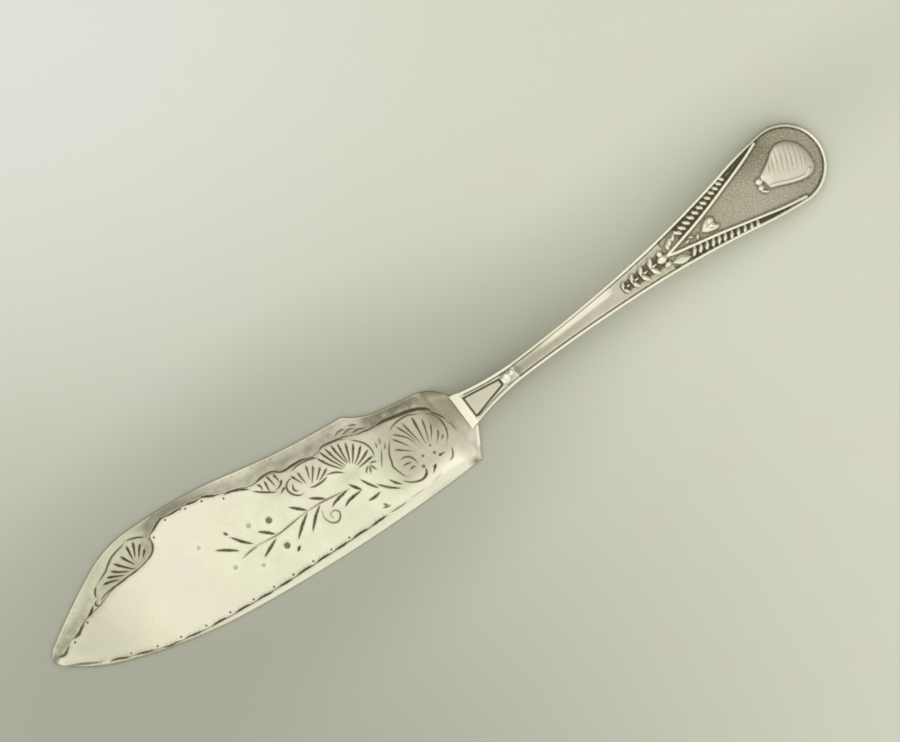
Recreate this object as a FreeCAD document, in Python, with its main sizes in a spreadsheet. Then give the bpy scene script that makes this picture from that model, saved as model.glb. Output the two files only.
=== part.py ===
import FreeCAD, Part
import math
import os
import Sketcher

# Master butter knife, struck and engraved from one piece of plated metal.
# X runs along the handle, from the point of the blade (negative) to the end of the handle.
# Y = 0 is the handle's centre line, and the ornamental back of the blade lies on the +Y side.
# While it is drawn, the origin is the shoulder, where the blade meets the neck of the handle.
# The knife lies on Z = 0, on the flat underside of its blade and on the end of its arched handle.

doc = FreeCAD.newDocument("butter_knife")
sheet = doc.addObject("Spreadsheet::Sheet", "Sizes")
Vector = FreeCAD.Vector
up = Vector(0, 0, 1)


class Size:
    """A number together with its spelling in the spreadsheet's names."""

    def __init__(self, value, text):
        self.value = value
        self.text = text

    def __add__(self, other):
        return combine(self, other, "+", self.value + as_size(other).value)

    def __sub__(self, other):
        return combine(self, other, "-", self.value - as_size(other).value)

    def __mul__(self, other):
        return combine(self, other, "*", self.value * as_size(other).value)

    def __truediv__(self, other):
        return combine(self, other, "/", self.value / as_size(other).value)

    def __neg__(self):
        return Size(-self.value, f"(0 - {self.text})")


def as_size(thing):
    return thing if isinstance(thing, Size) else Size(float(thing), repr(float(thing)))


def combine(first, second, sign, value):
    return Size(value, f"({first.text} {sign} {as_size(second).text})")


def root(amount):
    return Size(math.sqrt(amount.value), f"sqrt({amount.text})")


def sine(angle):
    return Size(math.sin(math.radians(angle.value)), f"sin({angle.text})")


def cosine(angle):
    return Size(math.cos(math.radians(angle.value)), f"cos({angle.text})")


row_count = 0


def size(alias, value, note):
    """Writes one driving dimension into the spreadsheet, and reads it back."""
    global row_count
    row_count += 1
    sheet.set(f"A{row_count}", note)
    sheet.set(f"B{row_count}", str(value))
    sheet.setAlias(f"B{row_count}", alias)
    sheet.recompute()
    return Size(float(sheet.get(alias)), f"Sizes.{alias}")


# Blade in plan. Places near the point are measured back from it, and the others from the shoulder.
blade_length = size("blade_length", 99.2, "blade, from its point to the shoulder")
point_y = size("point_y", 9.3, "the point, above the handle's centre line")
nose_setback = size("nose_setback", 1.6, "rounded nose, behind the point")
nose_rise = size("nose_rise", 3.0, "rounded nose, above the point")
nose_radius = size("nose_radius", 3.0, "rounded nose")
slant_setback = size("slant_setback", 17.0, "end of the slanting back, behind the point")
slant_rise = size("slant_rise", 10.9, "end of the slanting back, above the point")
slant_radius = size("slant_radius", 170.0, "slanting back")
crest_setback = size("crest_setback", 27.7, "crest of the back, behind the point")
crest_rise = size("crest_rise", 13.0, "crest of the back, above the point")
crest_radius = size("crest_radius", 25.0, "turn before the crest")
fall_x = size("fall_x", 47.2, "end of the falling back, from the shoulder")
fall_y = size("fall_y", 18.85, "end of the falling back")
fall_radius = size("fall_radius", 107.0, "falling back")
cusp_x = size("cusp_x", 21.8, "cusp, from the shoulder")
cusp_y = size("cusp_y", 14.2, "cusp")
cusp_radius = size("cusp_radius", 172.0, "long hollow before the cusp")
hollow_x = size("hollow_x", 15.6, "foot of the hollow behind the cusp")
hollow_y = size("hollow_y", 10.75, "foot of the hollow behind the cusp")
hollow_radius = size("hollow_radius", 13.6, "hollow behind the cusp")
saddle_radius = size("saddle_radius", 138.0, "between the hollow and the rounded shoulder")
round_x = size("round_x", 7.6, "start of the rounded shoulder")
round_y = size("round_y", 9.0, "start of the rounded shoulder")
round_radius = size("round_radius", 8.3, "rounded shoulder")
nick_x = size("nick_x", 1.9, "nick between the shoulder and the neck")
nick_y = size("nick_y", 4.9, "nick between the shoulder and the neck")
nick_radius = size("nick_radius", 2.3, "nick between the shoulder and the neck")
heel_x = size("heel_x", 3.9, "lower corner of the heel, from the shoulder")
heel_y = size("heel_y", 10.3, "lower corner of the heel, below the centre line")
belly_x = size("belly_x", 62.0, "middle of the cutting edge, from the shoulder")
belly_y = size("belly_y", 6.2, "cutting edge there, below the centre line")
belly_radius = size("belly_radius", 356.0, "cutting edge, from its middle to the heel")
bow_setback = size("bow_setback", 11.3, "start of the bowed edge, behind the point")
bow_drop = size("bow_drop", 8.1, "start of the bowed edge, below the point")
bow_radius = size("bow_radius", 111.0, "bowed edge")
sweep_radius = size("sweep_radius", 31.0, "edge where it sweeps up to the point")

# Blade in section, and the raised field that its sloping margins leave.
blade_thickness = size("blade_thickness", 1.5, "blade, at its raised field")
edge_thickness = size("edge_thickness", 0.5, "blade, at its outline")
edge_margin = size("edge_margin", 1.2, "sloping margin along the cutting edge")
heel_margin = size("heel_margin", 2.2, "sloping margin at the heel")
bow_margin = size("bow_margin", 0.5, "sloping margin where the edge bows")
point_margin = size("point_margin", 1.2, "sloping margin at the point")
slant_margin = size("slant_margin", 4.6, "sloping margin at the slanting back")
crest_margin = size("crest_margin", 2.2, "sloping margin at the crest")
crest_shift = size("crest_shift", 7.5, "crest of the field, behind the crest of the back")
back_margin = size("back_margin", 4.3, "sloping margin from the falling back to the cusp")
hollow_margin = size("hollow_margin", 2.5, "sloping margin behind the cusp")
cove_margin = size("cove_margin", 5.0, "field, from the shoulder")

# Cove and bright facet that rise from the blade to the neck.
cove_length = size("cove_length", 6.6, "cove, from its foot to the shoulder")
cove_height = size("cove_height", 2.35, "top of the cove")
cove_radius = size("cove_radius", 12.0, "cove")
cove_foot = size("cove_foot", 8.4, "half the cove's width at its foot")
facet_length = size("facet_length", 1.7, "bright facet")
facet_width = size("facet_width", 8.3, "bright facet, at its foot")

# Handle in plan.
handle_length = size("handle_length", 90.7, "handle, from the shoulder to its end")
neck_width = size("neck_width", 7.44, "neck, at the shoulder")
waist_x = size("waist_x", 14.0, "narrowest place, from the shoulder")
waist_width = size("waist_width", 4.06, "narrowest place")
flare_x = size("flare_x", 48.0, "start of the flare, from the shoulder")
flare_width = size("flare_width", 7.24, "start of the flare")
flare_radius = size("flare_radius", 242.0, "flare")
spread_setback = size("spread_setback", 20.2, "turn of the flare, from the handle's end")
spread_width = size("spread_width", 14.06, "turn of the flare")
spread_radius = size("spread_radius", 98.0, "side of the broad end")
end_setback = size("end_setback", 9.7, "widest place, from the handle's end")
end_width = size("end_width", 17.2, "widest place")

# Handle seen from the side. Both faces are arched.
neck_height = size("neck_height", 3.9, "top of the handle at the shoulder")
end_height = size("end_height", 1.3, "top of the handle at its end")
arch_radius = size("arch_radius", 168.0, "arch of the handle's top")
bend_start = size("bend_start", 1.0, "place where the underside leaves the table")
bend_radius = size("bend_radius", 25.0, "bend of the underside by the shoulder")
bend_angle = size("bend_angle", 15.0, "rise of the underside after that bend, in degrees")
toe_radius = size("toe_radius", 12.0, "bend of the underside at the end")
toe_angle = size("toe_angle", 15.6, "fall of the underside before that bend, in degrees")

# Sunk panels of the handle, and what stands in them.
rim_width = size("rim_width", 0.5, "raised rim round the sunk panels")
end_rim_width = size("end_rim_width", 0.9, "raised rim at the round end")
channel_start = size("channel_start", 11.8, "start of the sunk channel")
channel_depth = size("channel_depth", 0.35, "sunk channel")
panel_depth = size("panel_depth", 0.6, "sunk panel of the broad end")
fork_x = size("fork_x", 51.2, "point of the forked bar")
fork_setback = size("fork_setback", 11.7, "ends of the forked bar, from the handle's end")
fork_half = size("fork_half", 7.85, "ends of the forked bar, from the centre line")
fork_radius = size("fork_radius", 138.0, "curve of the forked bar")
fork_width = size("fork_width", 1.6, "forked bar, along the handle")
neck_panel_start = size("neck_panel_start", 1.1, "start of the three-sided panel")
neck_panel_end = size("neck_panel_end", 8.3, "end of the three-sided panel")
neck_panel_wide = size("neck_panel_wide", 4.6, "three-sided panel, at its start")
neck_panel_narrow = size("neck_panel_narrow", 0.9, "three-sided panel, at its end")
neck_panel_depth = size("neck_panel_depth", 0.25, "three-sided panel")
boss_x = size("boss_x", 10.1, "small boss of the neck")
boss_radius = size("boss_radius", 1.3, "small boss of the neck")
boss_height = size("boss_height", 0.5, "small boss of the neck")
bead_start_x = size("bead_start_x", 54.9, "first bead of the rope")
bead_start_y = size("bead_start_y", 2.15, "first bead of the rope")
bead_end_setback = size("bead_end_setback", 14.0, "last bead of the rope, from the handle's end")
bead_end_y = size("bead_end_y", 7.1, "last bead of the rope")
bead_bow = size("bead_bow", 0.25, "sag of the rope from a straight line")
bead_length = size("bead_length", 1.75, "first bead")
bead_width = size("bead_width", 1.3, "first bead")
bead_height = size("bead_height", 0.6, "first bead")
bead_taper = size("bead_taper", 0.35, "share by which the last bead is smaller")
bead_twist = size("bead_twist", 32.0, "slant of the beads, in degrees")
bead_count = 12
husk_start = size("husk_start", 41.5, "first husk")
husk_pitch = size("husk_pitch", 2.95, "step from husk to husk")
husk_length = size("husk_length", 2.5, "leaf of a husk")
husk_width = size("husk_width", 0.85, "leaf of a husk")
husk_height = size("husk_height", 0.5, "leaf of a husk")
husk_spread = size("husk_spread", 16.0, "slant of a husk's leaves, in degrees")
husk_count = 4
leaf_x = size("leaf_x", 60.3, "foot of the little leaf")
leaf_reach = size("leaf_reach", 3.2, "little leaf")
leaf_height = size("leaf_height", 0.7, "ridges of the little leaf")
leaf_angle = size("leaf_angle", 60.0, "outermost lobes of the little leaf, in degrees")
shell_setback = size("shell_setback", 14.6, "hinge of the struck shell, from the handle's end")
shell_reach = size("shell_reach", 11.1, "struck shell, from hinge to rim")
shell_height = size("shell_height", 0.9, "ridges of the struck shell")
shell_angle = size("shell_angle", 48.0, "outermost ribs of the struck shell, in degrees")
sunk_foot = size("sunk_foot", 0.15, "how far a bead, leaf or shell is sunk into its floor")
leaf_lobes = 5
shell_ribs = 9

# Engraver's cuts in the blade.
cut_width = size("cut_width", 0.6, "stroke of the graver")
cut_depth = size("cut_depth", 0.2, "stroke of the graver")
border_inset = size("border_inset", 0.7, "border line, inside the raised field")
border_pitch = size("border_pitch", 4.1, "step of the border's strokes")
border_stroke = size("border_stroke", 3.3, "border stroke")
border_dot = size("border_dot", 0.7, "dot between two border strokes")
crest_shell_setback = size("crest_shell_setback", 25.7, "hinge of the shell at the crest, behind the point")
crest_shell_y = size("crest_shell_y", 14.6, "hinge of the shell at the crest")
crest_shell_reach = size("crest_shell_reach", 5.4, "shell at the crest")
middle_shell_x = size("middle_shell_x", 35.1, "hinge of the middle shell, from the shoulder")
middle_shell_y = size("middle_shell_y", 6.8, "hinge of the middle shell")
middle_shell_reach = size("middle_shell_reach", 4.0, "middle shell")
small_shell_x = size("small_shell_x", 41.0, "hinge of the smallest shell, from the shoulder")
small_shell_y = size("small_shell_y", 10.6, "hinge of the smallest shell")
small_shell_reach = size("small_shell_reach", 3.3, "smallest shell")
tall_shell_x = size("tall_shell_x", 26.4, "hinge of the tall shell, from the shoulder")
tall_shell_y = size("tall_shell_y", 4.1, "hinge of the tall shell")
tall_shell_reach = size("tall_shell_reach", 7.0, "tall shell")
heel_shell_x = size("heel_shell_x", 12.3, "hinge of the great shell by the heel, from the shoulder")
heel_shell_y = size("heel_shell_y", 3.9, "hinge of the great shell, below the centre line")
heel_shell_reach = size("heel_shell_reach", 9.2, "great shell")
sprig_start_x = size("sprig_start_x", 55.9, "tip of the sprig, from the shoulder")
sprig_start_y = size("sprig_start_y", 3.6, "tip of the sprig")
sprig_end_x = size("sprig_end_x", 27.5, "foot of the sprig, from the shoulder")
sprig_end_y = size("sprig_end_y", 0.8, "foot of the sprig")
sprig_leaf = size("sprig_leaf", 4.6, "leaf of the sprig")
sprig_angle = size("sprig_angle", 42.0, "slant of the sprig's leaves, in degrees")
sprig_leaves = 6
tip_leaves = 5

zero = Size(0.0, "0")
point_x = -blade_length
half_neck = neck_width / 2
half_waist = waist_width / 2

# Centre of the circle that the handle's arched top follows.
arch_fall = end_height - neck_height
arch_chord = root(handle_length * handle_length + arch_fall * arch_fall)
arch_drop = root(arch_radius * arch_radius - arch_chord * arch_chord / 4)
arch_x = handle_length / 2 + arch_drop * arch_fall / arch_chord
arch_z = (neck_height + end_height) / 2 - arch_drop * handle_length / arch_chord


def bind(target, name, amount):
    target.setExpression(name, as_size(amount).text)


def arc_middle(start, end, radius):
    """Middle of the short arc from start to end. A positive radius turns left, and a negative one right."""
    chord = end.sub(start)
    side = math.copysign(1, radius)
    bulge = abs(radius) - math.sqrt(radius**2 - (chord.Length / 2) ** 2)
    left = Vector(-chord.y, chord.x, 0).normalize()
    return start.add(chord * 0.5).sub(left * (bulge * side))


def closed_sketch(body, name, plane, corners, height=None):
    """A closed outline. A corner is x, y and the radius of the arc that leaves it, or None for a line."""
    sketch = body.newObject("Sketcher::SketchObject", name)
    origin_plane = [f for f in body.Origin.OriginFeatures if f.Role == plane][0]
    sketch.AttachmentSupport = [(origin_plane, "")]
    sketch.MapMode = "FlatFace"
    if height is not None:
        bind(sketch, "AttachmentOffset.Base.z", height)
    points = [Vector(x.value, y.value, 0) for x, y, _ in corners]
    ends = []
    for i, (_, _, radius) in enumerate(corners):
        start, end = points[i], points[(i + 1) % len(points)]
        if radius is None:
            ends.append((sketch.addGeometry(Part.LineSegment(start, end)), 1, 2))
            continue
        index = sketch.addGeometry(Part.Arc(start, arc_middle(start, end, radius.value), end))
        # A sketch keeps an arc anticlockwise, so the ends of a right-hand turn change places.
        ends.append((index, 1, 2) if radius.value > 0 else (index, 2, 1))
    for i, (x, y, radius) in enumerate(corners):
        index, first, last = ends[i]
        next_index, next_first, _ = ends[(i + 1) % len(corners)]
        sketch.addConstraint(Sketcher.Constraint("Coincident", index, last, next_index, next_first))
        for kind, amount in (("DistanceX", x), ("DistanceY", y)):
            number = sketch.addConstraint(Sketcher.Constraint(kind, -1, 1, index, first, amount.value))
            bind(sketch, f"Constraints[{number}]", amount)
        if radius is not None:
            amount = radius if radius.value > 0 else -radius
            number = sketch.addConstraint(Sketcher.Constraint("Radius", index, amount.value))
            bind(sketch, f"Constraints[{number}]", amount)
    return sketch


def mirrored(upper):
    """Closes a chain of corners on the +Y side with its mirror image. Corners on the axis aren't doubled."""
    lower = []
    for i in range(len(upper) - 1, -1, -1):
        x, y, _ = upper[i]
        radius = upper[i - 1][2] if i > 0 else None
        if y is not zero:
            lower.append((x, -y, radius))
        elif i == len(upper) - 1:
            upper = upper[:-1] + [(x, y, radius)]
    return upper + lower


def prism(name, corners, height, start=None):
    """A body with one upright pad of a closed outline."""
    body = doc.addObject("PartDesign::Body", name)
    pad = body.newObject("PartDesign::Pad", f"{name}_pad")
    pad.Profile = closed_sketch(body, f"{name}_outline", "XY_Plane", corners, start)
    bind(pad, "Length", height)
    return body


def slice_across(name, corners, width):
    """A body padded to both sides of the XZ plane. The corners are x and z."""
    body = doc.addObject("PartDesign::Body", name)
    pad = body.newObject("PartDesign::Pad", f"{name}_pad")
    pad.Profile = closed_sketch(body, f"{name}_outline", "XZ_Plane", corners)
    pad.SideType = "Symmetric"
    bind(pad, "Length", width)
    return body


def combined(kind, name, shapes):
    result = doc.addObject(kind, name)
    if kind == "Part::Cut":
        result.Base, result.Tool = shapes
    else:
        result.Shapes = shapes
    return result


def blade_outline(field):
    """Corners of the blade in plan or, where field is 1, of the raised field inside its margins."""
    end = cove_margin * field
    point_inset = point_margin * field
    crest_inset = crest_margin * field
    crest_place = point_x + crest_setback + crest_shift * field
    return [
        (-end * 0.9, -half_neck + end * 0.3, None),
        (-heel_x - heel_margin * field, -heel_y + heel_margin * field, -belly_radius),
        (-belly_x, -belly_y + edge_margin * field, -bow_radius),
        (point_x + bow_setback, point_y - bow_drop + bow_margin * field, -sweep_radius),
        (point_x + point_inset, point_y + point_inset * 0.4, -nose_radius),
        (point_x + nose_setback + point_inset, point_y + nose_rise - nose_rise * 0.8 * field, -slant_radius),
        (point_x + slant_setback, point_y + slant_rise - slant_margin * field, -crest_radius),
        (crest_place, point_y + crest_rise - crest_inset, -fall_radius),
        (-fall_x, fall_y - back_margin * field, cusp_radius),
        (-cusp_x, cusp_y - back_margin * field, hollow_radius),
        (-hollow_x, hollow_y - hollow_margin * field, saddle_radius),
        (-round_x - field, round_y - hollow_margin * field, -round_radius),
        (-nick_x - end * 0.85, nick_y - field, nick_radius),
        (-end, half_neck - end * 0.4, None),
    ]


def make_blade():
    """A flat plate, and on it the margins that slope from the outline up to the raised field."""
    body = prism("blade_plate", blade_outline(0), edge_thickness)
    doc.recompute()
    margins = body.newObject("PartDesign::AdditiveLoft", "margins")
    margins.Profile = closed_sketch(body, "margin_foot", "XY_Plane", blade_outline(0), edge_thickness)
    margins.Sections = [closed_sketch(body, "field_outline", "XY_Plane", blade_outline(1), blade_thickness)]
    margins.Ruled = True
    body.Tip = margins
    return body


def make_cove():
    """The hollow ramp at the heel: the blade's outline, a ramp seen from the side, and sloping flanks."""
    plan = prism("cove_plan", blade_outline(0), cove_height)
    ramp = slice_across("cove_ramp", [
        (-cove_length, zero, None),
        (zero, zero, None),
        (zero, cove_height, None),
        (-facet_length, cove_height, -cove_radius),
        (-cove_length, blade_thickness - cut_depth, None),
    ], cove_foot * 4)
    flanks = doc.addObject("PartDesign::Body", "cove_flanks")
    pad = flanks.newObject("PartDesign::Pad", "cove_flanks_pad")
    half_facet = facet_width / 2
    pad.Profile = closed_sketch(flanks, "cove_flanks_outline", "YZ_Plane", [
        (-cove_foot, zero, None),
        (-cove_foot, edge_thickness, None),
        (-half_facet, cove_height, None),
        (half_facet, cove_height, None),
        (cove_foot, edge_thickness, None),
        (cove_foot, zero, None),
    ])
    pad.SideType = "Symmetric"
    bind(pad, "Length", cove_length * 4)
    return combined("Part::MultiCommon", "cove", [plan, ramp, flanks])


def squared_radius(run, rise):
    """Radius of an arc that runs and rises so far, and is square to its radius at one end."""
    return (run * run + rise * rise) / (rise * 2)


def handle_side(inset):
    """Upper corners of the handle in plan, each moved towards the centre line by inset."""
    neck_radius = squared_radius(waist_x, half_neck - half_waist)
    shaft_radius = squared_radius(flare_x - waist_x, flare_width / 2 - half_waist)
    return {
        "foot": (-facet_length, facet_width / 2 - inset, None),
        "neck": (zero, half_neck - inset, neck_radius),
        "waist": (waist_x, half_waist - inset, shaft_radius),
        "flare": (flare_x, flare_width / 2 - inset, flare_radius),
        "spread": (handle_length - spread_setback, spread_width / 2 - inset, -spread_radius),
    }


def round_end(inset):
    """The broad end: its widest corner, with the radius that meets the axis squarely, and its last point."""
    half = end_width / 2 - inset
    radius = squared_radius(half, end_setback - inset)
    return [(handle_length - end_setback, half, -radius), (handle_length - inset, zero, None)]


def make_handle():
    """The handle's plan, cut to its arched profile."""
    corners = list(handle_side(zero).values()) + round_end(zero)
    plan = prism("handle_plan", mirrored(corners), arch_radius / 10)
    bend_end = bend_start + bend_radius * sine(bend_angle)
    toe_start = handle_length - toe_radius * sine(toe_angle)
    under_radius = (toe_start - bend_end) / (sine(bend_angle) + sine(toe_angle))
    profile = slice_across("handle_profile", [
        (-facet_length, zero, None),
        (-facet_length, cove_height, None),
        (zero, neck_height, -arch_radius),
        (handle_length, end_height, None),
        (handle_length, zero, -toe_radius),
        (toe_start, toe_radius - toe_radius * cosine(toe_angle), under_radius),
        (bend_end, bend_radius - bend_radius * cosine(bend_angle), -bend_radius),
        (bend_start, zero, None),
    ], end_width * 2)
    return combined("Part::MultiCommon", "handle_blank", [plan, profile])


def sunk(name, corners, depth):
    """What a sunk panel takes away: its plan, above a surface that runs parallel to the arched top."""
    column = prism(f"{name}_column", corners, arch_radius / 10)
    floor = doc.addObject("Part::Cylinder", f"{name}_floor")
    bind(floor, "Radius", arch_radius - depth)
    bind(floor, "Height", end_width * 2)
    floor.Placement.Rotation = FreeCAD.Rotation(Vector(1, 0, 0), -90)
    bind(floor, "Placement.Base.x", arch_x)
    bind(floor, "Placement.Base.y", -end_width)
    bind(floor, "Placement.Base.z", arch_z)
    return combined("Part::Cut", name, [column, floor])


def make_panels():
    """Channel with the two strips beside the forked bar, the panel within the fork, and the neck's panel."""
    side = handle_side(rim_width)
    tine = (handle_length - fork_setback, fork_half, -fork_radius)
    channel = [(channel_start, side["waist"][1], None), side["waist"], side["flare"], side["spread"], tine]
    inner = round_end(end_rim_width)
    neck = [(neck_panel_start, neck_panel_wide / 2, None), (neck_panel_end, neck_panel_narrow / 2, None)]
    return [
        sunk("channel", mirrored(channel + [(fork_x, zero, None)]), channel_depth),
        sunk("end_panel", mirrored([(fork_x + fork_width, zero, fork_radius)] + inner), panel_depth),
        sunk("neck_panel", mirrored(neck), neck_panel_depth),
    ]


def seat_height(x, depth):
    """Height of a surface that lies below the arched top by depth."""
    radius = arch_radius - depth
    return arch_z + root(radius * radius - (x - arch_x) * (x - arch_x))


def pebble(name, x, y, depth, length, width, height, heading):
    """A bar with a hipped top, sunk a little into a panel's floor and lying along its slope."""
    bar = doc.addObject("Part::Wedge", name)
    bind(bar, "Ymin", -sunk_foot)
    bind(bar, "Ymax", height)
    for axis, extent, top_share in (("X", length, 0.45), ("Z", width, 0.3)):
        bind(bar, f"{axis}min", -extent / 2)
        bind(bar, f"{axis}max", extent / 2)
        bind(bar, f"{axis}2min", -extent / 2 * top_share)
        bind(bar, f"{axis}2max", extent / 2 * top_share)
    slope = math.degrees(math.asin((x - arch_x).value / (arch_radius - depth).value))
    upright = FreeCAD.Rotation(Vector(1, 0, 0), 90)
    turned = FreeCAD.Rotation(up, heading) * upright
    bar.Placement.Rotation = FreeCAD.Rotation(Vector(0, 1, 0), slope) * turned
    bind(bar, "Placement.Base.x", x)
    bind(bar, "Placement.Base.y", y)
    bind(bar, "Placement.Base.z", seat_height(x, depth))
    return bar


def neck_boss():
    """The low round boss between the neck's panel and the channel."""
    boss = doc.addObject("Part::Cone", "neck_boss")
    bind(boss, "Radius1", boss_radius)
    bind(boss, "Radius2", boss_radius / 2)
    bind(boss, "Height", boss_height + sunk_foot)
    slope = math.degrees(math.asin((boss_x - arch_x).value / arch_radius.value))
    boss.Placement.Rotation = FreeCAD.Rotation(Vector(0, 1, 0), slope)
    bind(boss, "Placement.Base.x", boss_x)
    bind(boss, "Placement.Base.z", seat_height(boss_x, sunk_foot))
    return boss


def rope_beads():
    """Two rows of slanting beads between the forked bar and the rims."""
    beads = []
    end_x = handle_length - bead_end_setback
    for i in range(bead_count):
        share = i / (bead_count - 1)
        x = bead_start_x + (end_x - bead_start_x) * share
        y = bead_start_y + (bead_end_y - bead_start_y) * share - bead_bow * 4 * share * (1 - share)
        scale = as_size(1) - bead_taper * share
        shape = (bead_length * scale, bead_width * scale, bead_height * scale)
        for side in (1, -1):
            name = f"bead_{i + 1}_{'back' if side > 0 else 'front'}"
            beads.append(pebble(name, x, y * side, channel_depth, *shape, side * bead_twist.value))
    return beads


def husks():
    """A chain of paired leaves along the channel."""
    leaves = []
    for i in range(husk_count):
        x = husk_start + husk_pitch * i
        for side in (1, -1):
            name = f"husk_{i + 1}_{'back' if side > 0 else 'front'}"
            y = husk_width * 0.6 * side
            shape = (husk_length, husk_width, husk_height)
            leaves.append(pebble(name, x, y, channel_depth, *shape, side * husk_spread.value))
    return leaves


def faceted(outlines):
    """A solid whose flat faces have the given corners."""
    faces = [Part.Face(Part.makePolygon(list(corners) + [corners[0]])) for corners in outlines]
    solid = Part.Solid(Part.Shell(faces))
    if solid.Volume < 0:
        solid.reverse()
    return solid


def fan(name, x, reach, height, widest, ribs):
    """Ridges that spread from a hinge on the centre line, standing on the floor of the end panel."""
    floor = seat_height(x, panel_depth).value
    hinge = Vector(x.value, 0, floor + height.value * 0.4)
    hinge_foot = Vector(x.value, 0, floor - sunk_foot.value)
    rim, foot = [], []
    for i in range(2 * ribs + 1):
        angle = math.radians(widest.value * (i / ribs - 1))
        furrow = i % 2 == 0
        length = reach.value * math.cos(1.25 * angle) * (0.94 if furrow else 1)
        rim_x = x + length * math.cos(angle)
        place = Vector(rim_x.value, length * math.sin(angle), seat_height(rim_x, panel_depth).value)
        rim.append(place.add(up * (height.value * (0.4 if furrow else 1))))
        foot.append(place.sub(up * sunk_foot.value))
    outlines = [(hinge, hinge_foot, foot[0], rim[0]), (hinge, hinge_foot, foot[-1], rim[-1])]
    for i in range(2 * ribs):
        outlines.append((hinge, rim[i], rim[i + 1]))
        outlines.append((hinge_foot, foot[i], foot[i + 1]))
        outlines.append((rim[i], foot[i], foot[i + 1], rim[i + 1]))
    relief = doc.addObject("Part::Feature", name)
    relief.Shape = faceted(outlines)
    return relief


def stroke(start, end, width):
    """One cut of the graver: a long four-sided point that sinks into the field, deepest in its middle."""
    proud = 0.5 * cut_depth.value
    top = blade_thickness.value + proud
    along = end.sub(start)
    across = Vector(-along.y, along.x, 0).normalize() * (width / 2 * 1.5)
    middle = start.add(along * 0.5)
    corners = [Vector(p.x, p.y, top) for p in (start, middle.sub(across), end, middle.add(across))]
    bottom = Vector(middle.x, middle.y, blade_thickness.value - cut_depth.value)
    return faceted([corners] + [(corners[i], corners[(i + 1) % 4], bottom) for i in range(4)])


def polar(centre, distance, degrees):
    angle = math.radians(degrees)
    return centre.add(Vector(math.cos(angle), math.sin(angle), 0) * distance)


def engraved_shell(x, y, reach, heading, spread, count):
    """A fan of cuts from a hinge, with a short cut across the end of each gap."""
    hinge = Vector(x.value, y.value, 0)
    cuts = []
    for i in range(count):
        bearing = heading + spread * (i / (count - 1) - 0.5)
        ends = [polar(hinge, reach.value * share, bearing) for share in (0.3, 0.9)]
        cuts.append(stroke(*ends, cut_width.value))
    step = spread / (count - 1)
    for i in range(count - 1):
        bearing = heading + spread * ((i + 0.5) / (count - 1) - 0.5)
        ends = [polar(hinge, reach.value, bearing + step * share) for share in (-0.4, 0.4)]
        cuts.append(stroke(*ends, cut_width.value))
    return cuts


def leaf_cut(joint, bearing, length):
    """One leaf, which stays a stroke's width clear of its joint with the stem."""
    ends = [polar(joint, distance, bearing) for distance in (cut_width.value, length)]
    return stroke(*ends, cut_width.value * 1.3)


def engraved_sprig():
    """A stem with paired leaves, and a fan of blades at its tip."""
    tip = Vector(-sprig_start_x.value, sprig_start_y.value, 0)
    foot = Vector(-sprig_end_x.value, sprig_end_y.value, 0)
    stem = foot.sub(tip)
    heading = math.degrees(math.atan2(stem.y, stem.x))
    cuts = []
    for i in range(sprig_leaves):
        joint = tip.add(stem * ((i + 1) / sprig_leaves))
        cuts.append(stroke(tip.add(stem * (i / sprig_leaves)), joint, cut_width.value))
        for side in (1, -1):
            cuts.append(leaf_cut(joint, heading + 180 - side * sprig_angle.value, sprig_leaf.value))
    for i in range(tip_leaves):
        bearing = heading + 180 - sprig_angle.value * 1.6 * (i / (tip_leaves - 1))
        cuts.append(leaf_cut(tip, bearing, sprig_leaf.value * 1.2))
    return cuts


def engraved_border(field):
    """A line of long strokes and dots inside the raised field, left out where a shell takes its place."""
    shells = [
        (point_x + crest_shell_setback, crest_shell_y, crest_shell_reach),
        (-middle_shell_x, middle_shell_y, middle_shell_reach),
        (-small_shell_x, small_shell_y, small_shell_reach),
        (-tall_shell_x, tall_shell_y, tall_shell_reach),
        (-heel_shell_x, -heel_shell_y, heel_shell_reach * 0.5),
    ]
    line = field.makeOffset2D(-border_inset.value).Wires[0]
    count = round(line.Length / border_pitch.value)
    points = line.discretize(Number=count * 2 + 1)
    cuts = []
    for i in range(count):
        joint, middle, after = points[2 * i], points[2 * i + 1], points[2 * i + 2]
        gaps = [math.hypot(middle.x - x.value, middle.y - y.value) - reach.value for x, y, reach in shells]
        if min(gaps) < border_stroke.value / 2:
            continue
        along = after.sub(joint).normalize()
        half = along * (border_stroke.value / 2)
        cuts.append(stroke(middle.sub(half), middle.add(half), cut_width.value))
        dot = along * (border_dot.value / 2)
        cuts.append(stroke(joint.sub(dot), joint.add(dot), border_dot.value / 1.5))
    return cuts


def engraving(blade):
    """All the cuts of the graver as one tool."""
    field = max(blade.Shape.Faces, key=lambda face: face.CenterOfMass.z)
    cuts = engraved_border(field) + engraved_sprig()
    cuts += engraved_shell(point_x + crest_shell_setback, crest_shell_y, crest_shell_reach, 100, 150, 8)
    cuts += engraved_shell(-middle_shell_x, middle_shell_y, middle_shell_reach, 85, 130, 7)
    cuts += engraved_shell(-small_shell_x, small_shell_y, small_shell_reach, 85, 110, 5)
    cuts += engraved_shell(-tall_shell_x, tall_shell_y, tall_shell_reach, 60, 110, 7)
    cuts += engraved_shell(-heel_shell_x, -heel_shell_y, heel_shell_reach, 105, 190, 11)
    tool = doc.addObject("Part::Feature", "engraving")
    tool.Shape = cuts[0].fuse(cuts[1:])
    return tool


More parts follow.
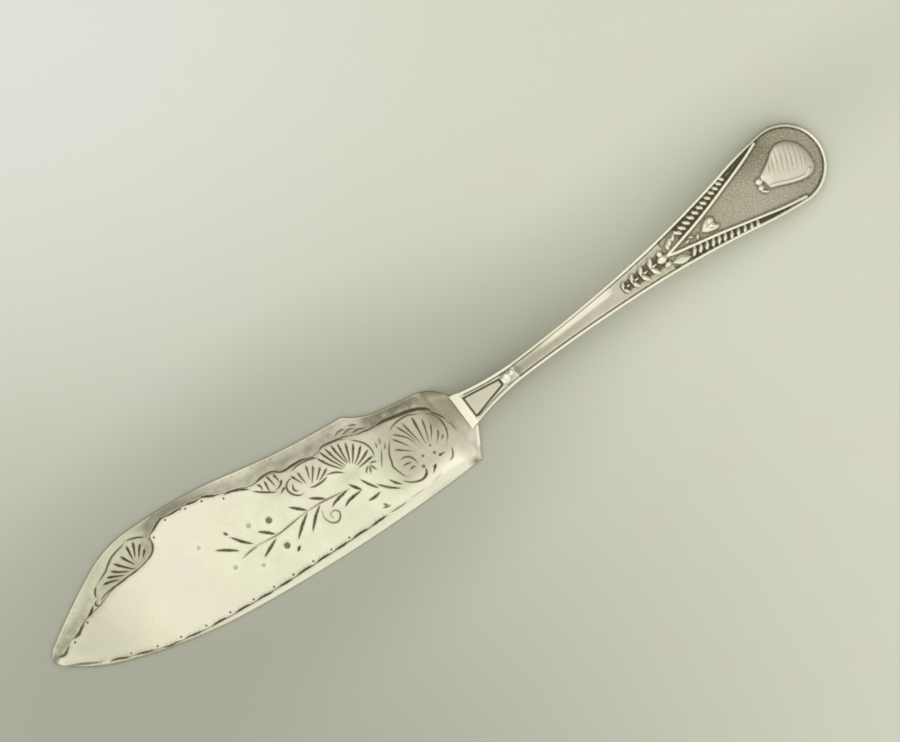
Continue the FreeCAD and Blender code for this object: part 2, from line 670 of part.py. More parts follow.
def make_knife():
    blade = make_blade()
    cove = make_cove()
    handle_blank = make_handle()
    panels = make_panels()
    doc.recompute()
    handle = combined("Part::Cut", "handle", [handle_blank, combined("Part::MultiFuse", "panels", panels)])
    struck = rope_beads() + husks()
    struck.append(neck_boss())
    struck.append(fan("leaf", leaf_x, leaf_reach, leaf_height, leaf_angle, leaf_lobes))
    shell_x = handle_length - shell_setback
    struck.append(fan("shell", shell_x, shell_reach, shell_height, shell_angle, shell_ribs))
    engraved_blade = combined("Part::Cut", "engraved_blade", [blade, engraving(blade)])
    knife = combined("Part::MultiFuse", "butter_knife", [handle, cove, engraved_blade] + struck)
    knife.Label = "butter_knife"
    doc.recompute()
    box = knife.Shape.BoundBox
    knife.Placement.Base = Vector(-box.Center.x, -box.Center.y, -box.ZMin)
    return knife


knife = make_knife()
for item in doc.Objects:
    if "Invalid" in item.State or "Error" in item.State:
        raise RuntimeError(f"{item.Name} failed: {item.State}")
if knife.Shape.isNull() or not knife.Shape.isValid():
    raise RuntimeError("butter_knife has no valid shape")
if len(knife.Shape.Solids) != 1:
    raise RuntimeError(f"butter_knife fell into {len(knife.Shape.Solids)} solids")

os.makedirs("parts", exist_ok=True)
knife.Shape.exportStep(f"parts/{knife.Label}.step")
print(knife.Label, round(knife.Shape.Volume, 1), "mm3", knife.Shape.BoundBox)
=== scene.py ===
import math

import bpy
import numpy as np
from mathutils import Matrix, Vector, kdtree
from mathutils.geometry import delaunay_2d_cdt


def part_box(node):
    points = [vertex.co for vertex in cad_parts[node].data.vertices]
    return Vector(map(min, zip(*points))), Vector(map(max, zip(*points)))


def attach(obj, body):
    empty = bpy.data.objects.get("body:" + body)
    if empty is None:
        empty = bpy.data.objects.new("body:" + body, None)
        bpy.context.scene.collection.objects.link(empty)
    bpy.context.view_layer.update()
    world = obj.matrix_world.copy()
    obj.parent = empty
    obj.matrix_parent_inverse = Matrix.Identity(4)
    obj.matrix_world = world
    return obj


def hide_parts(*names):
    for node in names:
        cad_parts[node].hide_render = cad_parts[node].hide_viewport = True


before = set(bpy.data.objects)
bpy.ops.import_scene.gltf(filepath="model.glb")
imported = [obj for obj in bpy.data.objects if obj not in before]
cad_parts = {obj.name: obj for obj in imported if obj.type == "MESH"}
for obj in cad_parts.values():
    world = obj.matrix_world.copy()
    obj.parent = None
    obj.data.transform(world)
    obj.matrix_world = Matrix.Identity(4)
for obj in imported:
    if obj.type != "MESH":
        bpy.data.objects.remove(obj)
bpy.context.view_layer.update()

knifeLow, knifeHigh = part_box("butter_knife")
print("frame loaded", [round(v, 4) for v in knifeHigh - knifeLow])

# The knife is drawn in millimetres, with x along it from the shoulder and y across it. The end of the handle
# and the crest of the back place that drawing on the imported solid. Shoulder sides are the sides of the
# outline that are walked in finer steps: how near the shoulder they end, how short they are, and the share of
# a step.
drawing = {"handleEnd": 90.7, "crest": 22.3, "unit": 0.001, "shoulderSides": (0.1, 8, 0.4)}
shiftX = knifeHigh.x - drawing["handleEnd"] * drawing["unit"]
shiftY = knifeHigh.y - drawing["crest"] * drawing["unit"]

# Corners of the outline: x, y, and the radius of the arc that leaves the corner.
# A radius above 0 turns left, one below 0 turns right, and 0 is a straight side.
outlineCorners = [
    (0.0, -3.72, 0), (-3.9, -10.3, -356), (-62.0, -6.2, -111), (-87.9, 1.2, -31),
    (-99.2, 9.3, -3), (-97.6, 12.3, -170), (-82.2, 20.2, -25), (-71.5, 22.3, -107),
    (-47.2, 18.85, 172), (-21.8, 14.2, 13.6), (-15.6, 10.75, 138), (-7.6, 9.0, -8.3),
    (-1.9, 4.9, 2.3), (0.0, 3.72, 58.8), (14.0, 2.03, 364), (48.0, 3.62, 242),
    (70.5, 7.03, -98), (81.0, 8.6, -8.66), (90.7, 0.0, -8.66), (81.0, -8.6, -98),
    (70.5, -7.03, 242), (48.0, -3.62, 364), (14.0, -2.03, 58.8),
]
# The line of the border, which parts the flat field from the bevelled margin.
fieldCorners = [
    (-98.5, 9.5), (-96.6, 9.8), (-94.5, 10.6), (-92.4, 11.5), (-90.2, 12.2), (-88.1, 13.0),
    (-84.6, 13.4), (-80.8, 14.4), (-77.7, 14.6), (-74.6, 14.5), (-71.5, 14.9), (-69.4, 15.8),
    (-68.3, 17.4), (-67.6, 18.7), (-64.9, 19.8), (-61.8, 19.8), (-58.8, 19.3), (-54.7, 18.4),
    (-51.4, 16.8), (-47.8, 15.5), (-45.0, 14.2), (-41.5, 14.0), (-38.5, 13.0), (-35.7, 12.3),
    (-33.6, 12.1), (-30.8, 11.3), (-28.5, 11.6), (-25.9, 11.1), (-23.9, 10.7), (-21.0, 9.3),
    (-17.4, 8.5), (-14.4, 8.05), (-11.4, 7.2), (-8.4, 6.1), (-6.9, 4.4), (-5.6, 2.2),
    (-4.7, 0.3), (-4.3, -2.4), (-4.4, -8.6), (-10.5, -8.1), (-18.75, -8.0), (-29.0, -7.6),
    (-39.3, -6.9), (-49.5, -6.2), (-59.7, -5.2), (-67.9, -4.1), (-71.9, -3.3), (-75.9, -2.4),
    (-80.0, -1.1), (-84.7, 0.8), (-89.6, 2.9), (-92.9, 4.8), (-95.6, 6.4), (-97.9, 8.0),
]

# Cuts of the graver, in groups. A "fan" cut is thick where it starts and fine where it ends, an "even"
# one keeps its width, and the others are fine at both ends. Tone is how dark the film in a cut is.
engraving = {
    "crestShell": {"width": 0.84, "fan": True, "cuts": [
        [(-77.2, 18.5), (-76.4, 17.4), (-75.1, 15.8), (-74.3, 15.1)],
        [(-75.2, 18.8), (-74.6, 17.4), (-73.8, 15.9)],
        [(-73.0, 19.8), (-73.2, 18.5), (-73.5, 16.9)], [(-78.6, 17.6), (-77.3, 16.5), (-75.6, 15.4)],
        [(-80.0, 17.1), (-78.4, 16.2), (-76.9, 15.4)], [(-81.4, 16.4), (-79.8, 15.9), (-78.2, 15.3)],
        [(-71.4, 19.7), (-72.0, 18.5), (-72.8, 17.0)], [(-70.4, 18.5), (-71.3, 17.6), (-72.3, 16.4)],
        [(-70.3, 17.1), (-70.9, 16.5), (-71.6, 15.9)],
    ]},
    "crestRim": {"width": 0.56, "tone": 0.78, "cuts": [
        [(-68.7, 19.0), (-68.2, 17.7), (-68.7, 16.3), (-70.2, 15.2), (-72.2, 14.8)],
        [(-70.5, 14.8), (-73.6, 14.6), (-76.7, 14.6), (-79.1, 14.6), (-81.2, 14.7), (-83.2, 14.3),
         (-84.4, 13.2)],
        [(-82.6, 17.2), (-79.7, 18.2), (-78.4, 19.0), (-76.9, 19.8), (-75.4, 20.2), (-73.9, 20.4),
         (-72.5, 20.8)],
        [(-72.5, 20.8), (-71.5, 20.5), (-70.1, 19.9), (-68.7, 19.0)],
        [(-84.5, 14.7), (-85.2, 14.1), (-84.6, 13.3)],
        [(-82.9, 17.0), (-83.8, 16.2), (-84.3, 15.2)],
    ]},
    "backBorder": {"width": 0.74, "tone": 0.85, "cuts": [
        [(-88.1, 13.0), (-87.1, 13.3), (-85.8, 14.2)],
        [(-67.5, 18.7), (-66.0, 19.4), (-64.3, 20.0), (-63.4, 20.2)],
        [(-63.4, 19.9), (-61.2, 19.6), (-59.8, 19.4), (-59.2, 18.8)],
        [(-58.4, 19.3), (-56.6, 18.8), (-55.1, 18.4)],
        [(-54.7, 18.7), (-53.3, 17.8), (-51.6, 16.8)],
        [(-50.8, 16.1), (-48.8, 15.7), (-46.8, 14.6), (-45.7, 13.7)],
        [(-39.7, 13.5), (-38.1, 12.6), (-35.7, 12.4), (-33.6, 12.1), (-31.8, 11.3), (-30.7, 10.6)],
        [(-16.9, 8.7), (-14.4, 8.2), (-11.9, 7.4)], [(-12.3, 7.6), (-10.0, 6.9), (-8.1, 5.8), (-6.9, 4.4)],
    ]},
    "tipBorder": {"width": 0.92, "tone": 0.7, "cuts": [
        [(-98.0, 10.3), (-96.8, 9.8), (-95.6, 10.1), (-94.5, 10.7)],
        [(-93.4, 11.4), (-91.8, 11.3), (-90.3, 12.1), (-89.2, 12.6)],
        [(-97.8, 7.9), (-94.9, 6.1), (-92.9, 4.9), (-90.9, 3.7)],
    ]},
    "softBorder": {"width": 0.7, "tone": 0.45, "cuts": [
        [(-28.5, 11.6), (-25.9, 11.2), (-23.9, 10.7), (-22.1, 9.8)],
        [(-21.3, 9.6), (-18.9, 8.8), (-16.4, 8.4)],
        [(-7.0, 4.7), (-5.7, 2.6), (-4.8, 0.6)], [(-25.6, -7.6), (-23.4, -7.8), (-21.4, -7.9)],
    ]},
    "faintBorder": {"width": 0.5, "tone": 0.22, "cuts": [
        [(-20.6, -7.9), (-18.4, -7.9), (-16.6, -8.0)], [(-14.9, -8.0), (-13.5, -7.8), (-12.1, -7.6)],
        [(-5.1, 0.9), (-4.6, -0.9), (-4.5, -3.0)],
    ]},
    "edgeBorder": {"width": 0.66, "tone": 0.9, "cuts": [
        [(-89.6, 3.0), (-88.0, 2.3), (-86.0, 1.2)], [(-84.9, 1.0), (-83.2, 0.2), (-80.6, -0.9)],
        [(-79.6, -1.3), (-78.0, -1.9), (-75.6, -2.4)], [(-74.8, -2.5), (-72.7, -3.1), (-70.5, -3.6)],
        [(-69.0, -3.9), (-66.8, -4.1), (-64.8, -4.6)], [(-63.4, -4.6), (-61.1, -4.9), (-59.3, -5.3)],
        [(-58.3, -5.3), (-56.5, -5.5), (-54.4, -5.9)], [(-53.2, -5.8), (-50.9, -6.1), (-49.5, -6.2)],
        [(-48.7, -6.2), (-46.6, -6.3), (-44.6, -6.5)], [(-43.8, -6.5), (-42.1, -6.6), (-40.2, -6.8)],
        [(-39.5, -6.8), (-37.6, -7.0), (-35.8, -7.1)], [(-35.0, -7.1), (-33.1, -7.2), (-31.1, -7.4)],
        [(-30.3, -7.4), (-28.4, -7.5), (-26.4, -7.6)],
    ]},
    "sprigStem": {"width": 0.3, "tone": 0.85, "cuts": [
        [(-55.3, 3.3), (-53.9, 3.5), (-50.8, 3.6)],
        [(-51.2, 3.6), (-47.1, 2.9), (-44.7, 2.85), (-41.6, 3.0), (-38.7, 3.0)],
        [(-39.5, 3.0), (-36.4, 2.8), (-33.4, 2.3), (-29.3, 1.4)],
        [(-36.6, 1.2), (-37.0, -0.4), (-36.2, -2.1), (-34.8, -2.4), (-33.8, -1.2), (-34.5, -0.2),
         (-35.7, -0.4), (-35.5, -1.3)],
    ]},
    "sprigLeaves": {"width": 0.76, "tone": 0.79, "cuts": [
        [(-58.9, 8.0), (-56.9, 6.6), (-55.0, 5.0)], [(-54.8, 8.3), (-53.2, 5.9), (-51.9, 4.5)],
        [(-55.4, 9.9), (-54.9, 9.0)], [(-49.6, 5.8), (-48.2, 4.5), (-47.0, 3.2)],
        [(-51.6, 0.8), (-49.9, 1.5), (-47.5, 2.4)], [(-41.5, 5.9), (-40.4, 4.8), (-38.9, 3.2)],
        [(-37.1, 4.9), (-35.7, 3.8), (-34.4, 2.7)], [(-43.9, -0.5), (-42.4, 0.7), (-40.8, 1.8), (-39.1, 2.8)],
        [(-40.6, -1.0), (-39.3, 0.2), (-38.0, 1.3), (-36.1, 2.5)], [(-34.3, 0.6), (-33.0, 1.1), (-29.7, 1.5)],
        [(-32.2, -1.0), (-30.5, -0.4), (-27.6, -0.3)], [(-28.9, 2.2), (-28.1, 0.9), (-27.4, -0.3)],
        [(-27.6, -2.9), (-26.2, -3.1), (-24.7, -2.9)], [(-45.5, -2.4), (-44.4, -1.7)],
    ]},
    "secondShell": {"width": 0.82, "fan": True, "tone": 0.8, "cuts": [
        [(-43.9, 13.6), (-43.5, 12.8), (-43.7, 12.0)], [(-42.3, 13.3), (-42.5, 12.0), (-42.7, 10.7)],
        [(-41.4, 13.8), (-41.2, 12.6), (-41.1, 11.1)], [(-40.1, 13.3), (-39.9, 12.4), (-39.9, 11.3)],
        [(-39.2, 11.4), (-40.2, 10.6), (-41.4, 10.3)], [(-39.7, 9.8), (-41.0, 9.2)],
    ]},
    "secondRim": {"width": 0.5, "tone": 0.85, "cuts": [
        [(-45.6, 13.2), (-44.3, 12.0), (-42.8, 10.8), (-41.4, 9.8)],
        [(-44.6, 13.9), (-43.0, 14.3), (-41.2, 14.3), (-39.4, 13.7), (-38.0, 12.5)],
    ]},
    "thirdShell": {"width": 0.84, "fan": True, "tone": 0.72, "cuts": [
        [(-37.3, 10.8), (-36.8, 9.4), (-36.3, 8.2)], [(-35.8, 10.6), (-35.8, 9.1), (-35.7, 7.7)],
        [(-33.6, 10.7), (-34.0, 9.5), (-34.6, 8.0)], [(-32.4, 9.8), (-33.3, 8.6), (-34.7, 7.0)],
        [(-31.4, 8.7), (-32.4, 7.8), (-33.6, 6.9)], [(-30.5, 7.6), (-31.8, 7.0), (-33.2, 6.5)],
    ]},
    "thirdRim": {"width": 0.6, "tone": 0.74, "cuts": [
        [(-37.0, 10.2), (-38.1, 10.4), (-39.2, 9.8), (-39.6, 8.7), (-39.2, 7.5), (-38.3, 6.6), (-37.2, 6.3)],
        [(-38.0, 9.3), (-38.5, 8.2), (-37.9, 7.3)],
        [(-35.7, 6.6), (-34.5, 6.1), (-32.6, 6.0), (-31.4, 6.2)],
        [(-37.0, 11.5), (-35.0, 11.7), (-33.3, 11.5), (-31.9, 11.1), (-30.5, 10.3)],
    ]},
    "fourthShell": {"width": 0.88, "fan": True, "tone": 0.8, "cuts": [
        [(-30.9, 10.4), (-29.7, 8.0), (-28.0, 5.5)], [(-29.7, 11.2), (-28.8, 8.4), (-27.5, 5.6)],
        [(-28.4, 11.1), (-27.9, 8.4), (-27.1, 5.8)], [(-27.0, 10.9), (-26.9, 8.4), (-26.6, 6.0)],
        [(-25.7, 10.3), (-26.1, 8.0), (-26.3, 5.9)], [(-24.3, 9.5), (-25.2, 7.3), (-26.0, 5.6)],
        [(-23.1, 8.4), (-24.4, 6.7), (-25.6, 5.2)], [(-22.1, 7.1), (-23.7, 5.8), (-25.3, 4.8)],
        [(-21.5, 5.5), (-23.3, 4.8), (-25.1, 4.3)], [(-21.5, 3.9), (-23.3, 3.8), (-25.0, 3.7)],
    ]},
    "fourthRim": {"width": 0.46, "tone": 0.8, "cuts": [
        [(-31.4, 6.6), (-29.6, 5.9), (-28.1, 4.6)],
        [(-30.4, 10.9), (-28.9, 11.8), (-27.5, 11.7), (-26.1, 11.3), (-24.7, 10.6), (-23.3, 9.6)],
        [(-23.6, 9.8), (-22.0, 8.1), (-21.0, 6.4), (-20.9, 4.5), (-21.6, 3.2)],
    ]},
    "fourthTuft": {"width": 0.52, "tone": 0.68, "cuts": [
        [(-22.9, 3.1), (-22.1, 2.9), (-21.4, 2.5)], [(-23.0, 2.9), (-22.7, 1.9), (-22.4, 1.1)],
        [(-23.2, 2.8), (-23.5, 1.9), (-23.9, 1.3)], [(-23.4, 2.9), (-24.1, 2.4), (-24.6, 1.8)],
    ]},
    "ribbon": {"width": 0.64, "tone": 0.8, "cuts": [
        [(-26.4, 1.6), (-25.5, -0.3), (-24.4, -2.1)], [(-24.3, -1.2), (-22.6, -3.3), (-20.7, -5.0)],
        [(-21.7, -2.0), (-20.9, -3.4), (-20.1, -4.4)],
    ]},
    "veil": {"width": 0.5, "tone": 0.5, "cuts": [
        [(-19.3, 5.9), (-19.8, 4.5)], [(-18.1, 6.1), (-18.9, 4.7)],
        [(-19.0, 4.2), (-20.2, 2.5), (-21.5, 0.7)],
        [(-17.8, 4.6), (-18.7, 3.3)],
    ]},
    "heelShell": {"width": 0.72, "fan": True, "tone": 0.7, "cuts": [
        [(-17.1, 2.2), (-15.5, 0.8), (-14.0, -0.5)], [(-16.2, 4.2), (-15.0, 2.3), (-14.1, 0.5)],
        [(-15.6, 5.0), (-13.9, 3.1), (-13.2, 1.8), (-12.8, 0.2)], [(-14.0, 5.7), (-13.1, 3.4), (-12.5, 0.9)],
        [(-12.6, 5.6), (-12.3, 3.0), (-12.1, 1.3), (-12.0, -0.4)],
        [(-8.8, 3.9), (-9.4, 2.0), (-10.1, 0.2), (-10.6, -1.1)],
        [(-8.0, 2.0), (-8.8, 0.6), (-9.9, -0.8)], [(-7.5, 0.1), (-8.3, -1.0), (-9.4, -2.0)],
        [(-7.2, -1.3), (-8.3, -2.1)],
    ]},
    "heelMiddle": {"width": 0.9, "fan": True, "tone": 0.82, "cuts": [
        [(-10.3, 5.4), (-10.7, 2.5), (-11.2, -0.5)],
        [(-14.3, -4.6), (-14.7, -5.6), (-16.0, -6.1), (-17.3, -5.8), (-18.6, -5.0), (-19.5, -4.0)],
        [(-10.6, -4.2), (-10.0, -4.3), (-9.1, -4.4)], [(-12.1, -5.2), (-12.8, -5.8), (-13.5, -6.4)],
    ]},
    "heelRim": {"width": 0.54, "tone": 0.72, "cuts": [
        [(-15.9, 5.7), (-14.6, 6.3), (-13.0, 6.5), (-11.1, 6.3), (-9.6, 5.6), (-8.3, 4.8)],
        [(-8.3, 5.0), (-6.8, 3.6), (-6.0, 1.9), (-5.9, 0.0), (-6.6, -2.0), (-8.1, -3.4)],
        [(-16.3, 4.7), (-17.2, 3.8), (-18.0, 2.9), (-18.7, 1.7), (-19.0, 0.7), (-19.4, -0.4), (-19.1, -2.0),
         (-18.6, -3.5), (-18.0, -4.2)],
        [(-17.7, -0.2), (-16.3, -0.3), (-15.4, -1.0), (-15.0, -2.1), (-15.0, -3.1)],
        [(-17.8, -1.6), (-16.9, -1.6), (-15.7, -2.0)], [(-17.1, -3.1), (-16.2, -2.9), (-15.6, -3.2)],
        [(-9.5, -6.5), (-8.3, -6.0), (-7.2, -4.3)],
    ]},
    "shellFlutes": {"width": 0.3, "tone": 0.55, "cuts": [
        [(78.3, 0.4), (79.5, 3.1)], [(79.1, -0.1), (80.8, 4.0)], [(80.0, -0.6), (82.1, 4.4)],
        [(80.9, -1.1), (83.3, 4.4)], [(81.8, -1.6), (84.3, 3.9)], [(82.7, -2.0), (85.1, 3.3)],
        [(83.6, -2.4), (85.9, 2.5)], [(84.5, -2.7), (86.5, 1.4)], [(85.4, -2.5), (86.7, -0.2)],
    ]},
    "neckPanel": {"width": 0.5, "even": True, "cuts": [
        [(0.5, -2.5), (0.5, 2.1)], [(0.5, 2.1), (8.6, 0.75)], [(8.6, 0.75), (8.6, -0.55)],
        [(8.6, -0.55), (0.5, -2.5)],
    ]},
    "budVeins": {"width": 0.26, "cuts": [
        [(60.2, -0.3), (61.8, -0.1), (63.2, -0.1)], [(61.2, 0.1), (62.3, 0.8)], [(61.3, -0.6), (62.6, -1.3)],
    ]},
    "leafVein": {"width": 0.22, "cuts": [[(51.9, -2.2), (54.6, -2.9)]]},
    "fieldEdge": {"width": 0.38, "even": True, "tone": 0.72, "cuts": [
        fieldCorners[3:34], fieldCorners[41:51],
    ]},
    "heelBorder": {"width": 1.15, "tone": 0.8, "cuts": [
        [(-18.0, 8.6), (-15.0, 8.2), (-12.4, 7.5), (-10.6, 7.0), (-8.5, 6.2), (-6.9, 5.1), (-6.1, 3.8)],
    ]},
    "marginTufts": {"width": 0.6, "tone": 0.6, "cuts": [
        [(-25.2, 11.9), (-24.0, 12.2), (-22.6, 11.9)], [(-23.8, 11.2), (-22.2, 11.3), (-20.9, 10.8)],
        [(-21.8, 12.0), (-20.2, 11.1)], [(-22.0, 10.3), (-20.4, 10.1), (-19.4, 9.4)],
        [(-26.2, -5.9), (-24.6, -6.4)], [(-25.6, -5.3), (-25.0, -6.0)],
    ]},
}
# Round marks: x, y and radius.
dots = [
    (-93.2, 10.5, 0.28), (-88.7, 12.2, 0.28), (-67.3, 17.8, 0.28), (-63.3, 19.3, 0.28), (-58.6, 18.6, 0.26),
    (-55.0, 17.8, 0.3), (-51.1, 15.5, 0.26), (-85.4, 1.7, 0.24), (-80.2, -0.4, 0.26), (-75.2, -1.8, 0.26),
    (-69.7, -3.1, 0.26), (-64.1, -3.9, 0.26), (-58.7, -4.7, 0.26), (-53.8, -5.2, 0.26), (-49.1, -5.6, 0.26),
    (-44.2, -5.9, 0.26), (-39.8, -6.2, 0.24), (-35.4, -6.5, 0.24), (-14.4, -4.1, 0.5), (-13.2, -2.3, 0.4),
    (-10.9, -3.2, 0.45), (-12.6, -5.6, 0.42), (-10.7, -1.5, 0.3),
]
berries = [(-46.4, 6.3, 0.75), (-46.5, -0.1, 0.75), (-50.4, 7.9, 0.5), (-57.7, 2.7, 0.45), (-52.8, -0.4, 0.4),
           (-61.3, 10.5, 0.4)]


def walkArcs(corners, step):
    near, short, finer = drawing["shoulderSides"]
    path = []
    for (x0, y0, radius), (x1, y1, _) in zip(corners, corners[1:] + corners[:1]):
        chord = math.hypot(x1 - x0, y1 - y0)
        fine = step * (finer if min(abs(x0), abs(x1)) < near and chord < short else 1)
        count = max(1, math.ceil(chord / fine))
        if radius:
            turn = math.copysign(1, radius)
            rise = turn * math.sqrt(radius ** 2 - chord ** 2 / 4) / chord
            cx = (x0 + x1) / 2 - (y1 - y0) * rise
            cy = (y0 + y1) / 2 + (x1 - x0) * rise
            start = math.atan2(y0 - cy, x0 - cx)
            sweep = turn * 2 * math.asin(chord / 2 / abs(radius))
        for k in range(count):
            t = k / count
            if radius:
                a = start + sweep * t
                path.append((cx + abs(radius) * math.cos(a), cy + abs(radius) * math.sin(a)))
            else:
                path.append((x0 + (x1 - x0) * t, y0 + (y1 - y0) * t))
    return np.array(path)


def smoothLine(points, step, closed=False):
    p = np.array(points, float)
    if closed:
        p = np.vstack([p[-1:], p, p[:2]])
    else:
        p = np.vstack([2 * p[:1] - p[1:2], p, 2 * p[-1:] - p[-2:-1]])
    path = []
    for a, b, c, d in zip(p, p[1:], p[2:], p[3:]):
        count = max(1, math.ceil(np.linalg.norm(c - b) / step))
        for t in np.arange(count) / count:
            path.append((2 * b + (c - a) * t + (2 * a - 5 * b + 4 * c - d) * t ** 2
                         + (3 * b - a - 3 * c + d) * t ** 3) / 2)
    if not closed:
        path.append(p[-2])
    return np.array(path)


def treeOf(points):
    tree = kdtree.KDTree(len(points))
    for k, (px, py) in enumerate(points):
        tree.insert((px, py, 0), k)
    tree.balance()
    return tree


def lineDistance(x, y, line, closed=False):
    tree = treeOf(line)
    near = np.array([tree.find((px, py, 0))[1] for px, py in zip(x, y)], int)
    best, along = np.full(len(x), 1e9), np.zeros(len(x))
    for side in (-1, 0):
        a = near + side
        a = a % len(line) if closed else np.clip(a, 0, len(line) - 2)
        b = (a + 1) % len(line)
        dx, dy = line[b, 0] - line[a, 0], line[b, 1] - line[a, 1]
        t = np.clip(((x - line[a, 0]) * dx + (y - line[a, 1]) * dy) / (dx * dx + dy * dy), 0, 1)
        d = np.hypot(x - line[a, 0] - t * dx, y - line[a, 1] - t * dy)
        closer = d < best
        best[closer] = d[closer]
        along[closer] = ((a + t) / (len(line) - 1))[closer]
    return best, along


def isInside(x, y, line):
    inside = np.zeros(len(x), bool)
    for (x0, y0), (x1, y1) in zip(line, np.roll(line, -1, axis=0)):
        if y0 != y1:
            inside ^= ((y0 > y) != (y1 > y)) & (x < x0 + (y - y0) * (x1 - x0) / (y1 - y0))
    return inside


def ease(low, high, value):
    t = np.clip((value - low) / (high - low), 0, 1)
    return t * t * (3 - 2 * t)


# Forms of the body: edge thickness and field height of the blade, the cove at its heel and the facet of the
# shoulder. Middle is the line that parts the blade's edge side from its back: an x, the line's y there, its
# slope and how softly it parts them. The arcs of the arched handle, above and below, are given as centre and
# radius, and the bend below the neck and the toe below the round end as where each starts and ends and its
# radius.
body = {
    "edge": 0.5, "field": 1.5, "edgeRound": 0.2, "handleRound": 0.3, "foot": 0.16, "edgeSide": 0.55,
    "backSide": 1.7, "middle": (-99, 9.5, -0.121, 1.5), "coveCentre": (-6.609, 13.3), "coveRadius": 12.0,
    "coveReach": 5, "coveStart": (-7.0, -4.8), "flank": (8.4, 0.4353), "flankBlend": 0.3, "coveBlend": 0.18,
    "shoulder": -1.7, "shoulderHeight": 2.35, "shoulderRise": 0.912, "shoulderHalf": (4.15, 0.253, 6),
    "top": (40.71, -159.09, 168.0), "under": (46.7, -145.58, 151.6), "bend": (1, 7.47, 25),
    "toe": (87.47, 90.7, 12),
}


def archTop(x):
    cx, cz, radius = body["top"]
    return cz + np.sqrt(radius ** 2 - (x - cx) ** 2)


def archBelow(x):
    start, stop, radius = body["bend"]
    bend = radius - np.sqrt(radius ** 2 - (np.clip(x, start, stop) - start) ** 2)
    toeStart, end, toeRadius = body["toe"]
    toe = toeRadius - np.sqrt(toeRadius ** 2 - (np.clip(x, toeStart, end) - end) ** 2)
    cx, cz, archRadius = body["under"]
    arch = cz + np.sqrt(archRadius ** 2 - (np.clip(x, stop, toeStart) - cx) ** 2)
    return np.where(x < stop, bend, np.where(x < toeStart, arch, toe))


def softMax(a, b, blend):
    share = np.clip(0.5 + 0.5 * (a - b) / blend, 0, 1)
    return b + (a - b) * share + blend * share * (1 - share)


def roundOff(d, radius):
    return radius - np.sqrt(np.maximum(radius ** 2 - np.maximum(radius - d, 0) ** 2, 0))


# Relief of the handle, as heights above or below the arch of its top.
relief = {
    "rim": 0.6, "endRim": 0.74, "endRimFrom": (78, 88), "rimFall": 0.12, "rimSoft": 0.02, "wall": 0.12,
    "channel": (12.2, 51.0), "channelRun": 0.6, "channelEdge": 0.13, "channelDip": 0.33,
    "line": 0.17, "lineHalf": 0.19, "lineDepth": 0.16, "lineFrom": (0.6, 1.0), "lineRoom": 0.3,
    "fork": (50.8, 51.4), "forkFloor": 51.2, "barsMeetRim": 80, "castStart": 38,
    "bar": 0.26, "barTop": -0.03, "barFall": 0.1, "rope": 0.62, "ground": 0.5,
    "upperBar": [(51.0, 0.0), (53.0, 0.35), (56.1, 0.95), (60.3, 1.85), (64.5, 2.9), (68.7, 4.1), (71.9, 5.0),
                 (76.1, 6.3), (79.4, 7.5)],
    "lowerBar": [(51.0, 0.0), (53.0, -0.6), (55.9, -1.3), (59.9, -2.25), (64.0, -3.25), (68.0, -4.35),
                 (73.1, -5.75), (77.0, -6.75), (81.5, -7.6)],
    "upperBeads": [(55.7, 2.45), (57.0, 2.7), (58.35, 3.0), (59.7, 3.3), (61.05, 3.55), (62.4, 3.85),
                   (63.6, 4.1), (64.9, 4.4), (66.15, 4.75), (67.35, 5.0), (68.5, 5.35), (69.6, 5.7)],
    "lowerBeads": [(56.2, -2.7), (57.6, -3.0), (59.0, -3.3), (60.4, -3.6), (61.7, -3.9), (63.0, -4.2),
                   (64.4, -4.6), (65.8, -5.0), (67.3, -5.3), (68.7, -5.7), (70.1, -6.05)],
    "beadTurn": (-46, 48), "beadHeight": 0.68, "beadFrom": 56, "beadLong": (1.06, 0.027),
    "beadWide": (0.49, 0.004),
}
# Cast leaves: x, y, half length, half width, turn in degrees, height over the floor.
leaves = [
    (52.4, 1.55, 0.95, 0.62, 66, 0.66), (53.3, 2.05, 0.95, 0.6, 64, 0.66), (54.35, 2.3, 0.85, 0.5, 60, 0.62),
    (53.2, -2.45, 2.1, 0.95, -17, 0.66),
    (56.3, -0.2, 0.62, 0.34, 12, 0.56), (57.4, 0.1, 0.55, 0.34, -20, 0.54), (58.6, -0.6, 0.75, 0.4, 52, 0.56),
]
# Pairs of husk leaves: where each pair stands on the shaft and how large it is. They lie on a dark band,
# which has a start, a half width there and a widening.
husk = {
    "pairs": ((40.0, 0.72), (42.2, 0.9), (44.5, 1.0), (46.9, 1.1)), "ahead": 0.5, "aside": 0.95,
    "long": 1.28, "wide": 0.56, "turn": 60, "height": 0.62, "band": (38.8, 1.25, 0.085), "bandRun": 1.4,
    "bandEdge": (0.62, 1.0),
}
for huskX, size in husk["pairs"]:
    for side in (1, -1):
        leaves.append((huskX + husk["ahead"] * size, side * husk["aside"] * size,
                       husk["long"] * size, husk["wide"] * size, side * husk["turn"], husk["height"]))
# Knobs, with the same values as the leaves.
knobs = [
    (9.9, 0.1, 1.05, 1.1, 0, 0.45), (11.45, 0.35, 0.62, 0.66, 0, 0.34), (49.9, 0.05, 1.15, 0.9, 0, 0.64),
    (50.1, 1.3, 0.62, 0.66, 0, 0.56), (50.4, -1.5, 0.8, 0.55, 0, 0.6), (41.2, 0.0, 0.4, 0.2, 0, 0.4),
    (43.3, 0.0, 0.55, 0.24, 0, 0.45), (45.6, 0.0, 0.58, 0.26, 0, 0.48), (47.9, 0.0, 0.6, 0.28, 0, 0.48),
    (75.5, 0.7, 0.85, 0.75, -8, 0.52), (75.1, -0.6, 0.7, 0.6, -8, 0.5), (75.4, -1.75, 0.95, 0.3, -38, 0.5),
]
